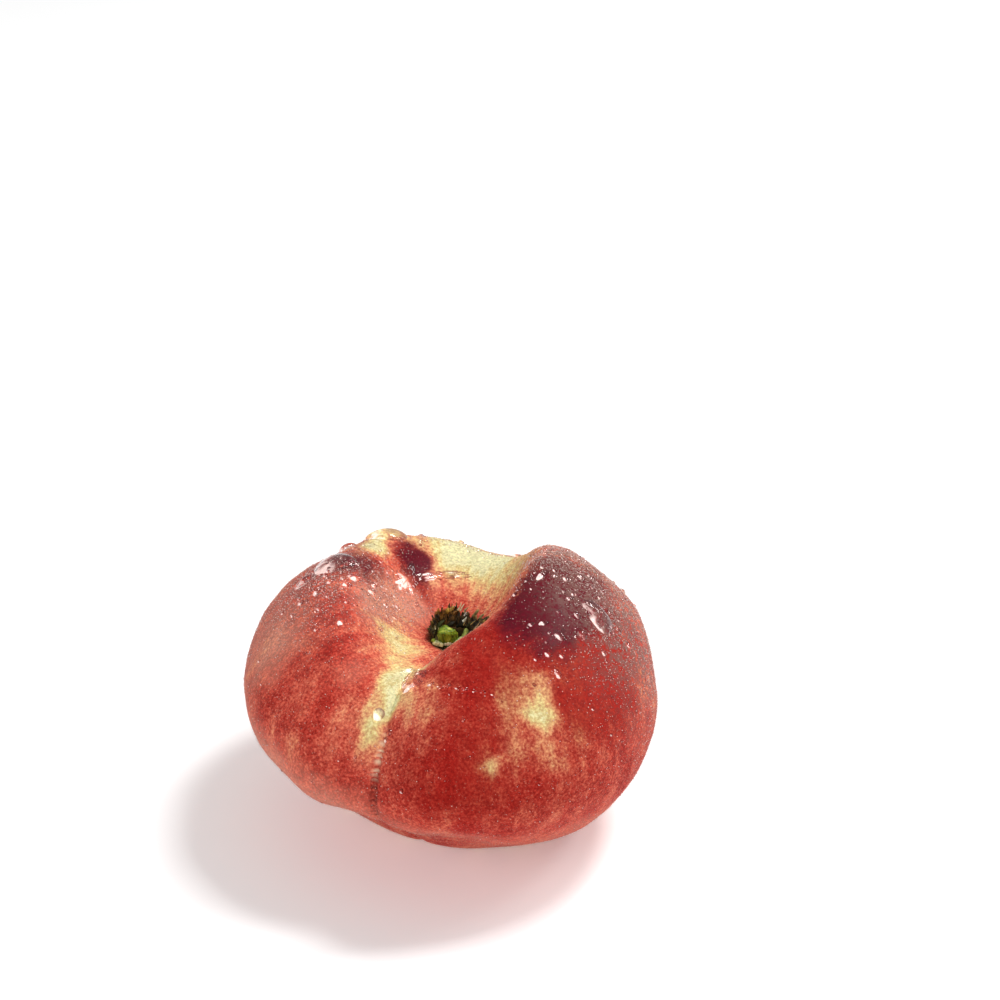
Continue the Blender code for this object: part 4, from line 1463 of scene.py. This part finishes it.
@dataclass
class Studio:
    """Pale floor, soft lights and the camera."""
    lamps: tuple[Lamp, ...] = (
        Lamp("key", (0.25, 0.26, 0.72), (0.22, 0.22), 4.4),
        Lamp("side", (0.47, 0.37, 0.54), (0.18, 0.18), 1.0),
        Lamp("front", (-0.20, -0.85, 0.55), (0.7, 0.5), 2.75),
    )
    lit_point: tuple = (0, 0, 0.02)
    sky: float = 0.41
    floor_half: float = 2.5
    floor_cells: int = 10
    azimuth: float = 21.5
    pitch: float = 26.0
    focal: float = 2.4788
    aim: tuple = (0.0, 0.0, 19.0)
    aim_depth: float = 376.99
    aim_in_picture: tuple = (0.45408, 0.69753)
    sensor: float = 36.0

    def camera(self, skin: Skin) -> None:
        """Stands the camera so that the aim point is seen where the picture has it.

        Args:
            skin: the skin, for the place of the stalk's axis.
        """
        data = bpy.data.cameras.new("camera")
        data.sensor_width = self.sensor
        data.lens = self.focal * self.sensor
        data.clip_start, data.clip_end = 0.01, 50
        camera = bpy.data.objects.new("camera", data)
        turn = Euler((math.radians(90 - self.pitch), 0, math.radians(self.azimuth)))
        right, up, back = (turn.to_matrix() @ Vector(axis) for axis in ((1, 0, 0), (0, 1, 0), (0, 0, 1)))
        depth = self.aim_depth * MM
        across = (self.aim_in_picture[0] - 0.5) / self.focal * depth
        upward = (0.5 - self.aim_in_picture[1]) / self.focal * depth
        aim = Vector(self.aim) * MM + Vector((skin.shift[0], skin.shift[1], -skin.form.rest_flat))
        camera.location = aim - right * across - up * upward + back * depth
        camera.rotation_euler = turn
        bpy.context.scene.collection.objects.link(camera)
        bpy.context.scene.camera = camera

    def light(self, lamp: Lamp) -> None:
        """Stands one lamp and turns it to the fruit."""
        data = bpy.data.lights.new(lamp.name, "AREA")
        data.shape = "RECTANGLE"
        data.size, data.size_y, data.energy = *lamp.size, lamp.power
        made = bpy.data.objects.new(lamp.name, data)
        made.location = lamp.place
        made.rotation_euler = (Vector(lamp.place) - Vector(self.lit_point)).to_track_quat("Z", "Y").to_euler()
        bpy.context.scene.collection.objects.link(made)

    def floor(self) -> None:
        """A wide pale sheet just under the fruit."""
        cells = self.floor_cells
        edge = np.linspace(-self.floor_half, self.floor_half, cells + 1)
        x, y = np.meshgrid(edge, edge)
        row, column = np.meshgrid(np.arange(cells), np.arange(cells), indexing="ij")
        low = row * (cells + 1) + column
        faces = np.stack([low, low + 1, low + cells + 2, low + cells + 1], axis=-1).reshape(-1, 4)
        sheet = make_mesh("floor", np.stack([x, y, 0 * x - 0.02 * MM], axis=-1).reshape(-1, 3), [faces])
        material, _, _ = new_material("pale_floor", {
            "Base Color": (0.93, 0.93, 0.93, 1), "Roughness": 0.8,
            "Emission Color": (1, 1, 1, 1), "Emission Strength": 0.20})
        sheet.data.materials.append(material)

    def build(self, skin: Skin) -> None:
        """Sets the world, the floor, the lights and the camera."""
        scene = bpy.context.scene
        scene.view_settings.view_transform = "Standard"
        world = bpy.data.worlds.new("studio")
        world.use_nodes = True
        backdrop = world.node_tree.nodes["Background"].inputs
        backdrop["Color"].default_value = (1, 1, 1, 1)
        backdrop["Strength"].default_value = self.sky
        scene.world = world
        self.floor()
        for lamp in self.lamps:
            self.light(lamp)
        self.camera(skin)


def main() -> None:
    """Builds the fruit, its down, the stalk, the water and the studio, in that order."""
    logging.basicConfig(level=logging.INFO, format="%(name)s: %(message)s")
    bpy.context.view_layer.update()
    skin = Skin(PeachForm())
    finish = SkinFinish().build()
    group = fibre_group()
    water = Water(skin)
    pieces = [Fruit(skin).build(finish), Stub().build(skin, group), Scales().build(skin, group),
              Bits().build(skin, group), *Down(skin).build(), *water.build(finish), Mist(skin).build(water.fields)]
    for piece in pieces:
        LOG.info("%s: %d faces", piece.name, len(piece.data.polygons))
    Studio().build(skin)


if __name__ == "__main__":
    main()
